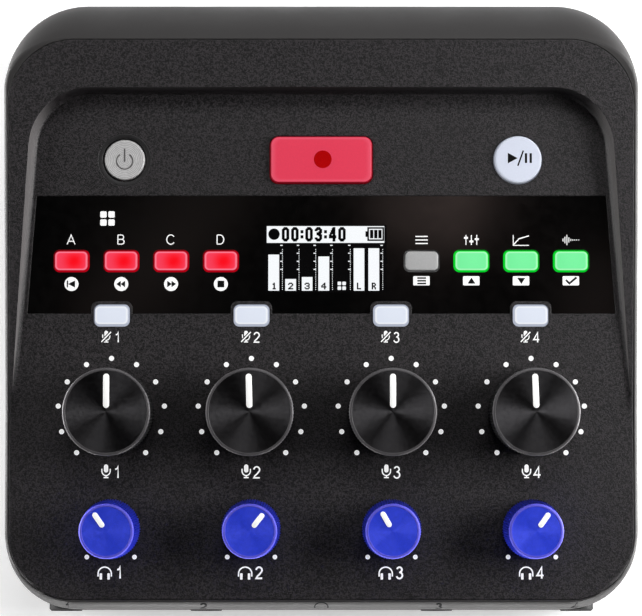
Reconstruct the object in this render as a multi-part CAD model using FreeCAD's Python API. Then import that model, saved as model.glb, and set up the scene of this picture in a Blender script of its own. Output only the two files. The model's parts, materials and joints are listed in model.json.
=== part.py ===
import FreeCAD, Part
import math
import os

# Podcast recorder with four microphone channels and four headphone outputs.
# Millimetres, +Z up, the user's side towards -Y, mic sockets towards +Y.
# The origin lies under the middle of the case, on the plane that the feet stand on.
# Panel features are placed by x and by v, the distance behind the mic knob row along
# the tilted panel, and by w, the height above the panel.

Vector = FreeCAD.Vector

# Case
case_width = 152.0
case_depth = 146.2
case_wall = 2.4
front_corner = 17.0
rear_corner = 19.2
foot_height = 1.5
seam_height = 5.0
knob_row_setback = 46.8
knob_row_height = 31.7
panel_tilt = 6.0
rim_tilt = 4.5
edge_round = 0.9

# Shoulders that roll from the walls up to the cover
rear_shoulder_run = 15.0
rear_shoulder_rise = 14.5
rear_shoulder_corner = 16.6
front_shoulder_run = 2.6
front_shoulder_rise = 3.3
front_shoulder_corner = 15.9

# Top cover and its seam
cover_thickness = 2.2
cover_gap = 0.15
seam_side = 0.95
seam_front = 2.0
seam_rear = 11.6
seam_front_corner = 15.3
seam_rear_corner = 15.7
ledge_width = 2.5
ledge_thickness = 2.0

# Arch-shaped recess in the cover
recess_foot_margin = 2.6
recess_foot_flare = 0.0775
recess_rim_margin = 1.15
recess_rim_flare = 0.0725
recess_length = 76.6
recess_corner = 13.1
recess_rear_run = 1.3
recess_lip = 0.3
# The wall's section, from its foot up: shares of its run and of the rim's height
recess_section = (
    (0.0, 0.0), (0.1, 0.01), (0.25, 0.06), (0.48, 0.18), (0.68, 0.33), (0.8, 0.5), (0.87, 0.72), (0.92, 0.9),
    (1.0, 0.98), (1.14, 1.01), (1.35, 1.03), (1.7, 1.05),
)
recess_overrun = 1.0
tub_wall = 1.6

# Rows on the panel, as distances behind the mic knob row
headphone_row = -28.0
mute_row = 23.2
pad_row = 36.3
transport_row = 60.8
channel_margin = 25.54

# Window strip and display
window_side_margin = 3.4
window_flare = 0.0742
window_front = 23.7
window_rear = 52.0
window_thickness = 1.2
window_gap = 0.12
tongue_half_width = 5.05
tongue_top = 26.7
tongue_corner = 1.7
display_centre = 1.0
display_row = 36.75
display_view_width = 28.8
display_view_height = 16.2
display_corner = 0.4
display_border = 1.7
display_glass = 1.6
holder_floor = 1.0

# Keys
key_gap = 0.25
key_flange = 1.0
key_flange_thickness = 0.8
key_play = 0.1
key_edge_chamfer = 0.3
key_stem_radius = 1.6
pad_side = 15.8
pad_offset = 24.2
pad_width = 8.2
pad_height = 4.9
pad_corner = 1.2
pad_rise = 0.8
pad_travel = 0.6
record_width = 24.5
record_height = 11.2
record_corner = 2.0
record_rise = 1.1
record_travel = 0.8
round_key_side = 28.5
play_radius = 5.7
play_rise = 0.9
power_radius = 4.85
power_rise = 0.2
power_dish_radius = 6.5
power_dish_depth = 0.8

# Knobs and their potentiometers
shaft_radius = 3.0
shaft_fit = 0.05
shaft_flat = 0.8
knob_floor_gap = 0.6
knob_wall = 1.4
knob_bevel = 0.9
hub_depth_left = 1.0
mic_knob_radius = 10.4
mic_knob_height = 13.0
mic_knob_taper = 0.3
mic_flutes = 60
headphone_knob_radius = 7.2
headphone_knob_height = 11.4
headphone_knob_taper = 0.75
headphone_flutes = 44
flute_depth = 0.3
pointer_depth = 0.25
mic_pointer = (0.9, 9.0, 1.42)
headphone_pointer = (1.2, 5.25, 1.25)
mic_rest_angles = (0.0, -1.5, 0.0, -2.0)
headphone_rest_angles = (-31.0, 35.0, -30.0, 34.0)
pot_width = 9.6
pot_length = 11.0
pot_height = 5.0
pot_offset = -0.7
pot_floor = 1.0
bush_radius = 3.9
bush_gap = 0.3

# Boards and switches
board_thickness = 1.6
panel_board_depth = 7.5
panel_board_side = 11.0
panel_board_front = 6.5
panel_board_rear = 4.5
panel_board_corner = 4.0
panel_post_side = 14.0
panel_post_row = 13.5
panel_post_setback = 4.0
main_board_height = 8.4
main_board_margin = 2.6
main_board_corner = 11.0
main_board_inner_corner = 2.0
main_board_front_strip = 40.0
right_wing_end = 12.0
left_wing_end = 24.0
board_post_x = 8.4
board_post_row = 30.0
board_post_inset = 20.0
board_post_edge = 4.0
board_side_inset = 10.0
board_hole_gap = 0.3
switch_size = 6.0
switch_height = 3.1
stem_in_well = 0.4
well_end_gap = 0.4
post_radius = 2.6

# Screws
board_screw_radius = 1.1
board_screw_head = 2.2
board_screw_head_height = 1.4
board_screw_length = 5.0
case_screw_radius = 1.45
case_screw_head = 2.6
case_screw_head_height = 1.6
case_screw_length = 13.0
screw_head_edge = 0.4
screw_slot_width = 0.6
screw_play = 0.15
pilot_play = 0.08
boss_side = 7.0
boss_front = 17.5
boss_rear = 35.5
boss_radius = 3.2
boss_joint_height = 12.0
tube_radius = 4.0
tube_seat = 3.0

# Sockets
xlr_height = 19.0
xlr_pad = 1.2
xlr_depth = 21.0
xlr_radius = 12.2
xlr_bore = 9.55
xlr_bore_depth = 18.0
xlr_mouth = 10.2
xlr_insert_radius = 7.6
xlr_insert_length = 15.5
xlr_pin_circle = 4.1
xlr_pin_radius = 1.3
xlr_pin_depth = 12.0
xlr_insert_edge = 0.5
socket_board_margin = 2.0
latch_width = 6.0
latch_bottom = 9.9
latch_top = 13.1
latch_length = 14.0
latch_stand_out = 0.8
latch_gap = 0.3
latch_travel = 1.1
latch_edge_round = 0.5
jack_bore = 1.8
jack_bore_depth = 14.0
jack_collar = 4.2
jack_collar_reach = 2.1
jack_collar_gap = 0.15
jack_collar_edge = 0.5
jack_body_width = 6.4
jack_body_height = 7.8
jack_body_length = 9.5
front_jack_stand_out = 0.35
side_jack_stand_out = 1.5
front_jack_pitch = 34.2
front_jack_side = 13.6
side_jack_y = (-32.5, -19.5)
usb_y = 2.0
usb_width = 9.0
usb_height = 3.2
usb_length = 8.0
usb_shell = 0.4
usb_setback = 0.6
usb_tongue_width = 6.6
usb_tongue_thickness = 0.7
usb_tongue_setback = 0.8
card_y = 2.0
card_width = 24.6
card_slot = 2.6
card_length = 27.0
card_shell = 0.5
socket_end_wall = 1.0
wall_slot_gap = 0.25

# Battery bay, for four cells side by side
cell_diameter = 14.5
cell_length = 50.5
cell_count = 4
cell_play = 0.4
contact_room = 3.5
bay_rear = 34.0
bay_roof = 1.6
bay_side = 2.0
bay_rib = 1.2
bay_rib_width = 1.6
door_ledge = 1.2
door_thickness = 2.4
door_gap = 0.3
hinge_pin_radius = 0.8
hinge_pin_length = 1.5
hinge_fit = 0.05
latch_tongue_width = 14.0
latch_tongue_length = 9.0
latch_tongue_slot = 0.7
grip_groove_radius = 0.35
grip_groove_pitch = 1.5
grip_groove_length = 9.0
contact_thickness = 0.4
contact_width = 9.0
contact_height = 9.0
spring_radius = 3.2
spring_bulge = 2.3
button_radius = 3.8
button_bulge = 0.4

# Bottom cover
floor_thickness = 2.0
floor_edge_round = 1.8
seam_groove = 0.4
lip_height = 1.5
lip_thickness = 1.2
lip_gap = 0.15
foot_radius = 5.0
foot_sink = 0.5
foot_edge = 0.4
foot_side = 18.0
foot_front = 11.5
foot_rear = 11.5
finger_scoop_radius = 9.0
finger_scoop_depth = 1.2

# Places worked out from the sizes above
half_width = case_width / 2
half_depth = case_depth / 2
knob_row_y = -half_depth + knob_row_setback
panel_slope = math.radians(panel_tilt)
rim_slope = math.radians(panel_tilt + rim_tilt)
rim_rise = math.tan(math.radians(rim_tilt))
panel_frame = FreeCAD.Placement(
    Vector(0, knob_row_y, knob_row_height), FreeCAD.Rotation(Vector(1, 0, 0), panel_tilt)
)
floor_top = foot_height + floor_thickness
main_board_top = main_board_height + board_thickness
jack_height = main_board_top + jack_body_height / 2
usb_z = main_board_top + usb_height / 2 + usb_shell
wall_inside_rear = half_depth - case_wall
channel_pitch = (case_width - 2 * channel_margin) / 3
channel_x = [channel_pitch * (i - 1.5) for i in range(4)]
pad_pitch = (half_width - pad_side - pad_offset) / 3
round_key_offset = half_width - round_key_side
xlr_front = wall_inside_rear - xlr_pad
xlr_back = xlr_front - xlr_depth
bay_half_width = (cell_count * (cell_diameter + cell_play)) / 2
bay_front = bay_rear - cell_length - contact_room
door_top = foot_height + door_thickness
bay_top = door_top + cell_diameter + cell_play + bay_rib
switch_top = -panel_board_depth + switch_height
reach = 4 * (case_width + case_depth)
touching = 1e-4


# Helpers

def rounded_wire(corners, level=0.0):
    """Closed outline through (x, y, radius) corners, each rounded by a tangent arc."""
    count = len(corners)
    arcs = []
    for i, (x, y, radius) in enumerate(corners):
        here = Vector(x, y, level)
        before = Vector(corners[i - 1][0], corners[i - 1][1], level) - here
        after = Vector(corners[(i + 1) % count][0], corners[(i + 1) % count][1], level) - here
        half = before.getAngle(after) / 2
        before.normalize()
        after.normalize()
        along = radius / math.tan(half)
        inward = before + after
        inward.normalize()
        middle = here + inward * (radius / math.sin(half) - radius)
        arcs.append((here + before * along, middle, here + after * along, radius))
    edges = []
    for i, (start, middle, end, radius) in enumerate(arcs):
        if radius > 0:
            edges.append(Part.Arc(start, middle, end).toShape())
        nearest = arcs[(i + 1) % count][0]
        if end.distanceToPoint(nearest) > 1e-6:
            edges.append(Part.makeLine(end, nearest))
    return Part.Wire(edges)


def prism(wire, bottom, top):
    """Solid over an outline drawn at level 0."""
    face = Part.Face(wire)
    face.translate(Vector(0, 0, bottom))
    return face.extrude(Vector(0, 0, top - bottom))


def box(x_low, x_high, y_low, y_high, z_low, z_high):
    return Part.makeBox(x_high - x_low, y_high - y_low, z_high - z_low, Vector(x_low, y_low, z_low))


def rod(radius, x, y, bottom, top):
    """Upright cylinder."""
    return Part.makeCylinder(radius, top - bottom, Vector(x, y, bottom))


def rod_along_y(radius, x, z, front, rear):
    return Part.makeCylinder(radius, rear - front, Vector(x, front, z), Vector(0, 1, 0))


def rod_along_x(radius, y, z, left, right):
    return Part.makeCylinder(radius, right - left, Vector(left, y, z), Vector(1, 0, 0))


def rectangle(x, y, width, height, corner):
    """Rounded rectangle about a centre."""
    return rounded_wire([
        (x - width / 2, y - height / 2, corner),
        (x + width / 2, y - height / 2, corner),
        (x + width / 2, y + height / 2, corner),
        (x - width / 2, y + height / 2, corner),
    ])


def on_panel(shape):
    """Carries a shape from panel coordinates x, v, w into the part's frame."""
    placed = shape.copy()
    placed.Placement = panel_frame.multiply(placed.Placement)
    return placed


def moved(shape, x, y, z=0.0, turn=0.0):
    """A copy turned clockwise by some degrees, as seen from above, and then shifted."""
    placed = shape.copy()
    placed.rotate(Vector(0, 0, 0), Vector(0, 0, 1), -turn)
    placed.translate(Vector(x, y, z))
    return placed


def eased_top(shape, size):
    """Chamfers the edges that lie wholly at the top of a shape."""
    top = shape.BoundBox.ZMax
    edges = [e for e in shape.Edges if e.BoundBox.ZMin > top - touching]
    return shape.makeChamfer(size, edges)


def panel_height(y):
    return knob_row_height + (y - knob_row_y) * math.tan(panel_slope)


def rim_height(y):
    return knob_row_height + (y - knob_row_y) * math.tan(rim_slope)


def recess_half_width(v, share=0.0):
    """Half the width of the recess, from its foot at a share of 0 to its rim at 1."""
    margin = recess_foot_margin + share * (recess_rim_margin - recess_foot_margin)
    flare = recess_foot_flare + share * (recess_rim_flare - recess_foot_flare)
    return half_width - margin - flare * v


def window_half_width(v):
    return half_width - window_side_margin - window_flare * v


# Outer form of the closed case

def plan(front, rear, front_radius, rear_radius, side=0.0, level=0.0):
    """Case outline in plan, drawn in from the front, rear and side walls."""
    x = half_width - side
    return rounded_wire([
        (-x, front - half_depth, front_radius),
        (x, front - half_depth, front_radius),
        (x, half_depth - rear, rear_radius),
        (-x, half_depth - rear, rear_radius),
    ], level)


def seam_outline(inset):
    """Outline of the seam between cover and case, drawn in by an inset."""
    return plan(
        seam_front + inset, seam_rear + inset, seam_front_corner - inset,
        seam_rear_corner - inset, seam_side + inset,
    )


def inner_outline(inset=0.0):
    """Outline of the inside faces of the case walls."""
    thick = case_wall + inset
    return plan(thick, thick, front_corner - thick, rear_corner - thick, thick)


def quarter(run, rise, inset):
    """Height of a quarter ellipse of some run and rise at an inset from its foot."""
    return rise * math.sqrt(1 - (1 - inset / run) ** 2)


front_shoulder_foot = (
    panel_height(seam_front - half_depth)
    - quarter(front_shoulder_run, front_shoulder_rise, seam_front - 2 * cover_gap)
)
rear_shoulder_foot = (
    rim_height(half_depth - seam_rear)
    - quarter(rear_shoulder_run, rear_shoulder_rise, seam_rear - 2 * cover_gap)
)
shoulder_turns = (0, 20, 40, 60, 75, 86)


def front_inset(turn):
    return front_shoulder_run * (1 - math.cos(math.radians(turn)))


def front_radius_at(turn):
    share = front_inset(turn) / front_shoulder_run
    return front_corner + (front_shoulder_corner - front_corner) * share


def front_shoulder():
    """Front wall rolling back to the panel, with its corners drawn in as it rises."""
    wires = []
    for turn in shoulder_turns:
        level = front_shoulder_foot + front_shoulder_rise * math.sin(math.radians(turn))
        wires.append(plan(front_inset(turn), 0, front_radius_at(turn), rear_corner, 0, level))
    return Part.makeLoft(wires, True)


def rear_shoulder(thick, drop):
    """Rear wall rolling forward to the rim. A thickness and a drop give its inside face."""
    front = front_inset(shoulder_turns[-1]) + thick
    front_radius = front_radius_at(shoulder_turns[-1]) - thick
    wires = []
    for turn in shoulder_turns:
        angle = math.radians(turn)
        inset = rear_shoulder_run - (rear_shoulder_run - thick) * math.cos(angle)
        share = (inset - thick) / rear_shoulder_run
        radius = rear_corner - thick + (rear_shoulder_corner - rear_corner) * share
        level = rear_shoulder_foot + (rear_shoulder_rise - drop) * math.sin(angle)
        wires.append(plan(front, inset, front_radius, radius, thick, level))
    return Part.makeLoft(wires, True)


def above_top(drop):
    """Everything above the panel and rim planes, once both are lowered by a drop."""
    kink = drop * math.tan(math.radians(rim_tilt) / 2)
    far = reach
    points = [
        (kink, -drop),
        (-far, -drop),
        (-far, far),
        (far, far),
        (far, -drop + (far - kink) * rim_rise),
    ]
    corners = [Vector(-far / 2, v, w) for v, w in points]
    face = Part.Face(Part.makePolygon(corners + corners[:1]))
    return on_panel(face.extrude(Vector(far, 0, 0)))


def outer_form():
    """Closed outside form of cover and case together, down to the lower seam."""
    last = shoulder_turns[-1]
    front_top = front_shoulder_foot + front_shoulder_rise * math.sin(math.radians(last))
    walls = prism(plan(0, 0, front_corner, rear_corner), seam_height, front_shoulder_foot)
    middle = prism(
        plan(front_inset(last), 0, front_radius_at(last), rear_corner), front_top, rear_shoulder_foot
    )
    form = walls.multiFuse([front_shoulder(), middle, rear_shoulder(0, 0)]).removeSplitter()
    form = form.cut(above_top(0))
    side_edges = []
    for edge in form.Edges:
        bounds = edge.BoundBox
        flat = abs(abs(bounds.XMin) - half_width) < 1e-3 and bounds.XLength < 1e-3
        if flat and bounds.YLength > 10 and bounds.ZMin > front_shoulder_foot:
            side_edges.append(edge)
    return form.makeFillet(edge_round, side_edges)


# Cover

def recess_level(spread, run_share=0.0, height_share=0.0):
    """Outline of the recess wall at some share of its run and of the rim's height."""
    front = -recess_overrun
    rear = recess_length + spread + run_share * recess_rear_run
    x_front = recess_half_width(front, run_share) + spread
    x_rear = recess_half_width(rear, run_share) + spread
    corner = recess_corner + x_rear - recess_half_width(rear)
    wire = rounded_wire([
        (-x_front, front, 0), (x_front, front, 0), (x_rear, rear, corner), (-x_rear, rear, corner),
    ])
    wire.rotate(Vector(0, 0, 0), Vector(1, 0, 0), math.degrees(math.atan(height_share * rim_rise)))
    wire.translate(Vector(0, 0, height_share * recess_lip))
    return wire


def recess_form():
    """Space over the recess floor, with walls that curve up from it and round over at the rim."""
    return on_panel(Part.makeLoft([recess_level(0, *shares) for shares in recess_section], True))


def tub_form(spread, depth, gap):
    """Outside of the tub that hangs below the rim round the recess, clear of the case's seam."""
    floor = prism(recess_level(spread), -depth, 0)
    walls = Part.makeLoft([recess_level(spread, 0, 0), recess_level(spread, 2, 2)], True, True)
    tub = on_panel(floor).fuse(on_panel(walls))
    return tub.common(prism(seam_outline(gap), 0, reach))


def tongue(grow):
    """Rounded tongue of the panel round a mute key, about x = 0."""
    return [
        (-tongue_half_width - grow, window_front, 0),
        (-tongue_half_width - grow, tongue_top + grow, tongue_corner + grow),
        (tongue_half_width + grow, tongue_top + grow, tongue_corner + grow),
        (tongue_half_width + grow, window_front, 0),
    ]


def window_outline(grow):
    """Window strip from wall to wall of the recess, notched round the mute keys."""
    front = window_front - grow
    rear = window_rear + grow
    side = window_gap - grow
    corners = [(-window_half_width(front) + side, front, 0)]
    for x in channel_x:
        corners += [(x + dx, max(front, dy) if dy > window_front else front, radius)
                    for dx, dy, radius in tongue(-grow)]
    corners += [
        (window_half_width(front) - side, front, 0),
        (window_half_width(rear) - side, rear, 0),
        (-window_half_width(rear) + side, rear, 0),
    ]
    return rounded_wire(corners)


def pad_places():
    """(x, v) of the four pads and then of the four function keys."""
    left = [-pad_offset - pad_pitch * (3 - i) for i in range(4)]
    right = [pad_offset + pad_pitch * i for i in range(4)]
    return [(x, pad_row) for x in left + right]


def mute_places():
    return [(x, mute_row) for x in channel_x]


def small_key_outline(x, v, grow):
    return rectangle(x, v, pad_width + 2 * grow, pad_height + 2 * grow, pad_corner + grow)


def record_outline(grow):
    return rectangle(
        0, transport_row, record_width + 2 * grow, record_height + 2 * grow, record_corner + grow
    )


def key_hole(outline):
    return prism(outline, -2 * cover_thickness, cover_thickness)


def round_key_hole(x, radius):
    return rod(radius, x, transport_row, -2 * cover_thickness, cover_thickness)


def cover_post_places():
    """Short posts that carry the control board, between the channel columns."""
    rows = (
        (channel_pitch, headphone_row),
        (half_width - panel_post_side, panel_post_row),
        (channel_pitch, transport_row + panel_post_setback),
    )
    return [(side * x, v) for side in (-1, 1) for x, v in rows]


def boss_places():
    """Long bosses that take the case screws, in the four corners."""
    x = half_width - boss_side
    return [(side * x, y) for side in (-1, 1)
            for y in (-half_depth + boss_front, half_depth - boss_rear)]


def under_cover(shape):
    """Part of a shape that lies below the middle of the cover's plate."""
    return shape.cut(above_top(cover_thickness / 2))


def top_cover(form):
    plate = form.common(prism(seam_outline(cover_gap), 0, reach))
    plate = plate.common(above_top(cover_thickness))
    tub = tub_form(tub_wall, cover_thickness, cover_gap).cut(above_top(cover_thickness / 2))
    posts = [on_panel(rod(post_radius, x, v, -panel_board_depth, -cover_thickness / 2))
             for x, v in cover_post_places()]
    bosses = [under_cover(rod(boss_radius, x, y, boss_joint_height, reach))
              for x, y in boss_places()]
    body = plate.multiFuse([tub] + posts + bosses).cut(recess_form())
    cuts = [prism_on_panel(window_outline(window_gap), -window_thickness, recess_lip)]
    cuts.append(on_panel(key_hole(display_outline(0))))
    for x in channel_x:
        hole = bush_radius + bush_gap
        cuts.append(on_panel(rod(hole, x, 0, -2 * cover_thickness, cover_thickness)))
        cuts.append(on_panel(rod(hole, x, headphone_row, -2 * cover_thickness, cover_thickness)))
    for x, v in pad_places() + mute_places():
        cuts.append(on_panel(key_hole(small_key_outline(x, v, key_gap))))
    cuts.append(on_panel(key_hole(record_outline(key_gap))))
    cuts.append(on_panel(round_key_hole(round_key_offset, play_radius + key_gap)))
    cuts.append(on_panel(round_key_hole(-round_key_offset, power_radius + key_gap)))
    dish = Part.makeCone(
        power_radius + 2 * key_gap, power_dish_radius, power_dish_depth,
        Vector(-round_key_offset, transport_row, -power_dish_depth),
    )
    cuts.append(on_panel(dish))
    for x, v in cover_post_places():
        pilot = rod(board_screw_radius + pilot_play, x, v, -panel_board_depth,
                    -panel_board_depth + board_screw_length)
        cuts.append(on_panel(pilot))
    for x, y in boss_places():
        cuts.append(rod(case_screw_radius + pilot_play, x, y, boss_joint_height,
                        boss_joint_height + case_screw_length - tube_seat))
    return body.cut(Part.makeCompound(cuts)).removeSplitter()


def prism_on_panel(wire, bottom, top):
    return on_panel(prism(wire, bottom, top))


# Window, display and keys

def display_outline(border):
    """Outline of the display's view, grown by a border."""
    width = display_view_width + 2 * border
    height = display_view_height + 2 * border
    return rectangle(display_centre, display_row, width, height, display_corner)


def window_lens():
    plate = prism(window_outline(0), -window_thickness, 0)
    holes = [key_hole(small_key_outline(x, v, key_gap)) for x, v in pad_places()]
    return on_panel(plate.cut(Part.makeCompound(holes)))


def display_panel():
    """Display glass, held against the underside of the cover."""
    top = -cover_thickness
    return prism_on_panel(display_outline(display_border), top - display_glass, top)


def display_holder():
    """Frame that carries the display glass on the control board."""
    top = -cover_thickness - display_glass
    body = prism(display_outline(display_border), -panel_board_depth, top)
    hollow = prism(display_outline(0), holder_floor - panel_board_depth, top + 1)
    return on_panel(body.cut(hollow))


def key(x, v, cap_wire, flange_wire, rise):
    """Cap through the cover, retaining flange below it and stem down to the switch."""
    cap = eased_top(prism(cap_wire, -cover_thickness - key_play, rise), key_edge_chamfer)
    flange_top = -cover_thickness - key_play
    flange = prism(flange_wire, flange_top - key_flange_thickness, flange_top)
    stem = rod(key_stem_radius, x, v, switch_top - stem_in_well, flange_top - key_flange_thickness)
    return on_panel(cap.multiFuse([flange, stem]).removeSplitter())


def small_key(x, v):
    return key(x, v, small_key_outline(x, v, 0), small_key_outline(x, v, key_flange), pad_rise)


def record_key():
    return key(0, transport_row, record_outline(0), record_outline(key_flange), record_rise)


def round_key(x, radius, rise):
    cap = Part.Wire(Part.makeCircle(radius, Vector(x, transport_row, 0)))
    flange = Part.Wire(Part.makeCircle(radius + key_flange, Vector(x, transport_row, 0)))
    return key(x, transport_row, cap, flange, rise)


def switch_places():
    """(x, v, travel of the key above it) of each switch."""
    small = pad_places() + mute_places()
    small += [(-round_key_offset, transport_row), (round_key_offset, transport_row)]
    return [(x, v, pad_travel) for x, v in small] + [(0, transport_row, record_travel)]


def tact_switches():
    """One switch under each key, with the well that its key's stem presses into."""
    solids = []
    half = switch_size / 2
    for x, v, travel in switch_places():
        body = box(x - half, x + half, v - half, v + half, -panel_board_depth, switch_top)
        well_depth = stem_in_well + travel + well_end_gap
        well = rod(key_stem_radius + key_gap, x, v, switch_top - well_depth, 0)
        solids.append(on_panel(body.cut(well)))
    return Part.makeCompound(solids)


# Knobs, shafts and potentiometers

def fluted_wire(radius, count, level):
    """Knob outline with a groove between one narrow land and the next."""
    step = 2 * math.pi / count
    points = []
    for i in range(count):
        for distance, share in ((radius, 0), (radius, 0.4), (radius - flute_depth, 0.7)):
            angle = (i + share) * step
            points.append(Vector(distance * math.cos(angle), distance * math.sin(angle), level))
    return Part.makePolygon(points + points[:1])


def shaft_section(clearance):
    """Round shaft with one flat, drawn about the origin."""
    radius = shaft_radius + clearance
    flat = shaft_radius - shaft_flat + clearance
    half = math.sqrt(radius ** 2 - flat ** 2)
    arc = Part.Arc(Vector(half, flat, 0), Vector(0, -radius, 0), Vector(-half, flat, 0))
    return Part.Wire([arc.toShape(), Part.makeLine(Vector(-half, flat, 0), Vector(half, flat, 0))])


def knob(radius, height, taper, flutes, pointer):
    """Fluted knob on a hub, hollow below, with a groove for its white pointer."""
    skirt = Part.makeLoft([
        fluted_wire(radius, flutes, knob_floor_gap), fluted_wire(radius - taper, flutes, height)
    ], True, True)
    bevel_foot = height - 2 * knob_bevel
    top_radius = radius - taper
    bevel = Part.makeCone(
        top_radius + knob_bevel, top_radius - knob_bevel, 2 * knob_bevel, Vector(0, 0, bevel_foot)
    )
    body = skirt.common(rod(radius + 1, 0, 0, knob_floor_gap, bevel_foot).fuse(bevel))
    inside = radius - flute_depth - knob_wall
    hollow = Part.makeCone(inside, inside - taper, height - 2 * knob_wall)
    hollow = hollow.cut(rod(shaft_radius + knob_wall, 0, 0, 0, height))
    bore = prism(shaft_section(shaft_fit), 0, hub_bore_top(height))
    start, end, width = pointer
    groove = prism(
        rectangle(0, (start + end) / 2, width, end - start, 0.49 * width), height - pointer_depth, height + 1
    )
    return body.cut(Part.makeCompound([hollow, bore, groove]))


def hub_bore_top(knob_height):
    return knob_height - knob_wall - hub_depth_left


def shaft(knob_height):
    """Shaft from inside the potentiometer up into the knob's hub."""
    round_part = rod(shaft_radius, 0, 0, pot_floor - panel_board_depth, 0)
    flatted = prism(shaft_section(0), 0, hub_bore_top(knob_height) - shaft_fit)
    return round_part.fuse(flatted).removeSplitter()


def potentiometer():
    """Body on the control board with a bush up through the cover."""
    top = -panel_board_depth + pot_height
    half = pot_width / 2
    middle = pot_offset
    body = box(
        -half, half, middle - pot_length / 2, middle + pot_length / 2, -panel_board_depth, top
    )
    bush = rod(bush_radius, 0, 0, top, -knob_floor_gap)
    bore = rod(shaft_radius + shaft_fit, 0, 0, pot_floor - shaft_fit - panel_board_depth, 1)
    return body.fuse(bush).cut(bore).removeSplitter()


def potentiometers(v):
    return Part.makeCompound([on_panel(moved(potentiometer(), x, v)) for x in channel_x])


# Boards

def panel_board():
    """Control board under the panel."""
    front = (panel_board_front - knob_row_setback) / math.cos(panel_slope)
    rear = (xlr_back - board_thickness - panel_board_rear - knob_row_y) / math.cos(panel_slope)
    x = half_width - panel_board_side
    wire = rounded_wire([(px, pv, panel_board_corner) for px, pv in
                         ((-x, front), (x, front), (x, rear), (-x, rear))])
    plate = prism(wire, -panel_board_depth - board_thickness, -panel_board_depth)
    holes = [rod(board_screw_radius + screw_play, px, v, -2 * panel_board_depth, 0)
             for px, v in cover_post_places()]
    return on_panel(plate.cut(Part.makeCompound(holes)))


def main_post_places():
    """Posts of the bottom cover that carry the main board."""
    wing_x = half_width - board_post_inset
    front_y = -half_depth + board_post_row
    front = [(side * x, front_y) for side in (-1, 1) for x in (board_post_x, wing_x)]
    right = (wing_x - board_side_inset, right_wing_end - board_post_edge)
    left = (-wing_x, left_wing_end - board_post_edge)
    return front + [right, left]


def main_board():
    """Board round the front of the battery bay, with a wing on each side of it."""
    side = half_width - case_wall - main_board_margin
    front = -half_depth + case_wall + main_board_margin
    inner = bay_half_width + door_ledge + bay_side + bay_side
    strip = -half_depth + main_board_front_strip
    wire = rounded_wire([
        (-side, front, main_board_corner),
        (side, front, main_board_corner),
        (side, right_wing_end, main_board_inner_corner),
        (inner, right_wing_end, main_board_inner_corner),
        (inner, strip, main_board_inner_corner),
        (-inner, strip, main_board_inner_corner),
        (-inner, left_wing_end, main_board_inner_corner),
        (-side, left_wing_end, main_board_inner_corner),
    ])
    plate = prism(wire, main_board_height, main_board_top)
    holes = [rod(board_screw_radius + screw_play, x, y, 0, knob_row_height)
             for x, y in main_post_places()]
    holes += [rod(tube_radius + board_hole_gap, x, y, 0, knob_row_height) for x, y in boss_places()]
    return plate.cut(Part.makeCompound(holes))


def socket_board():
    """Upright board that the mic sockets are soldered to."""
    x = channel_x[3] + xlr_radius + socket_board_margin
    return box(
        -x, x, xlr_back - board_thickness, xlr_back,
        xlr_height - xlr_radius, xlr_height + xlr_radius,
    )


# Mic sockets

def xlr_shells():
    """Socket shells against the inside of the rear wall, slotted for their latches."""
    solids = []
    for x in channel_x:
        shell = rod_along_y(xlr_radius, x, xlr_height, xlr_back, xlr_front)
        bore = rod_along_y(xlr_bore, x, xlr_height, half_depth - xlr_bore_depth, half_depth)
        half = latch_width / 2 + latch_gap
        slot = box(
            x - half, x + half, half_depth - latch_length - latch_gap, half_depth,
            xlr_height + latch_bottom - latch_travel - latch_gap, xlr_height + latch_top + 1,
        )
        solids.append(shell.cut(Part.makeCompound([bore, slot])))
    return Part.makeCompound(solids)


def xlr_inserts():
    """Round cores with three contact holes, standing on the end walls of the shells."""
    solids = []
    start = half_depth - xlr_bore_depth
    end = start + xlr_insert_length
    for x in channel_x:
        core = rod_along_y(xlr_insert_radius, x, xlr_height, start, end)
        rim = [e for e in core.Edges if e.BoundBox.YMin > end - touching]
        core = core.makeChamfer(xlr_insert_edge, rim)
        holes = []
        for degrees in (30, 150, 270):
            angle = math.radians(degrees)
            hole_x = x + xlr_pin_circle * math.cos(angle)
            hole_z = xlr_height + xlr_pin_circle * math.sin(angle)
            holes.append(rod_along_y(xlr_pin_radius, hole_x, hole_z, end - xlr_pin_depth, end + 1))
        solids.append(core.cut(Part.makeCompound(holes)))
    return Part.makeCompound(solids)


def xlr_latch(x):
    """Release tab in the top slot of a mic socket."""
    half = latch_width / 2
    front = half_depth + latch_stand_out
    body = box(
        x - half, x + half, half_depth - latch_length, front,
        xlr_height + latch_bottom, xlr_height + latch_top,
    )
    edges = [e for e in body.Edges if e.BoundBox.YMin > front - touching]
    return body.makeFillet(latch_edge_round, edges)


# Phone jacks and other sockets

def phone_jack(stand_out):
    """Jack that opens towards -Y, with its mouth in the plane y = 0 and its axis at z = 0."""
    collar_end = stand_out + case_wall + jack_collar_reach
    collar = rod_along_y(jack_collar, 0, 0, 0, collar_end)
    rim = [e for e in collar.Edges if e.BoundBox.YMax < touching]
    collar = collar.makeChamfer(jack_collar_edge, rim)
    body = box(
        -jack_body_width / 2, jack_body_width / 2, collar_end, collar_end + jack_body_length,
        -jack_body_height / 2, jack_body_height / 2,
    )
    bore = rod_along_y(jack_bore, 0, 0, -1, jack_bore_depth)
    return collar.fuse(body).cut(bore)


def front_jack_x():
    outer = half_width - front_jack_side
    inner = outer - front_jack_pitch
    return [-outer, -inner, inner, outer]


def headphone_jacks():
    jack = phone_jack(front_jack_stand_out)
    return Part.makeCompound([
        moved(jack, x, -half_depth - front_jack_stand_out, jack_height) for x in front_jack_x()
    ])


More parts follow.
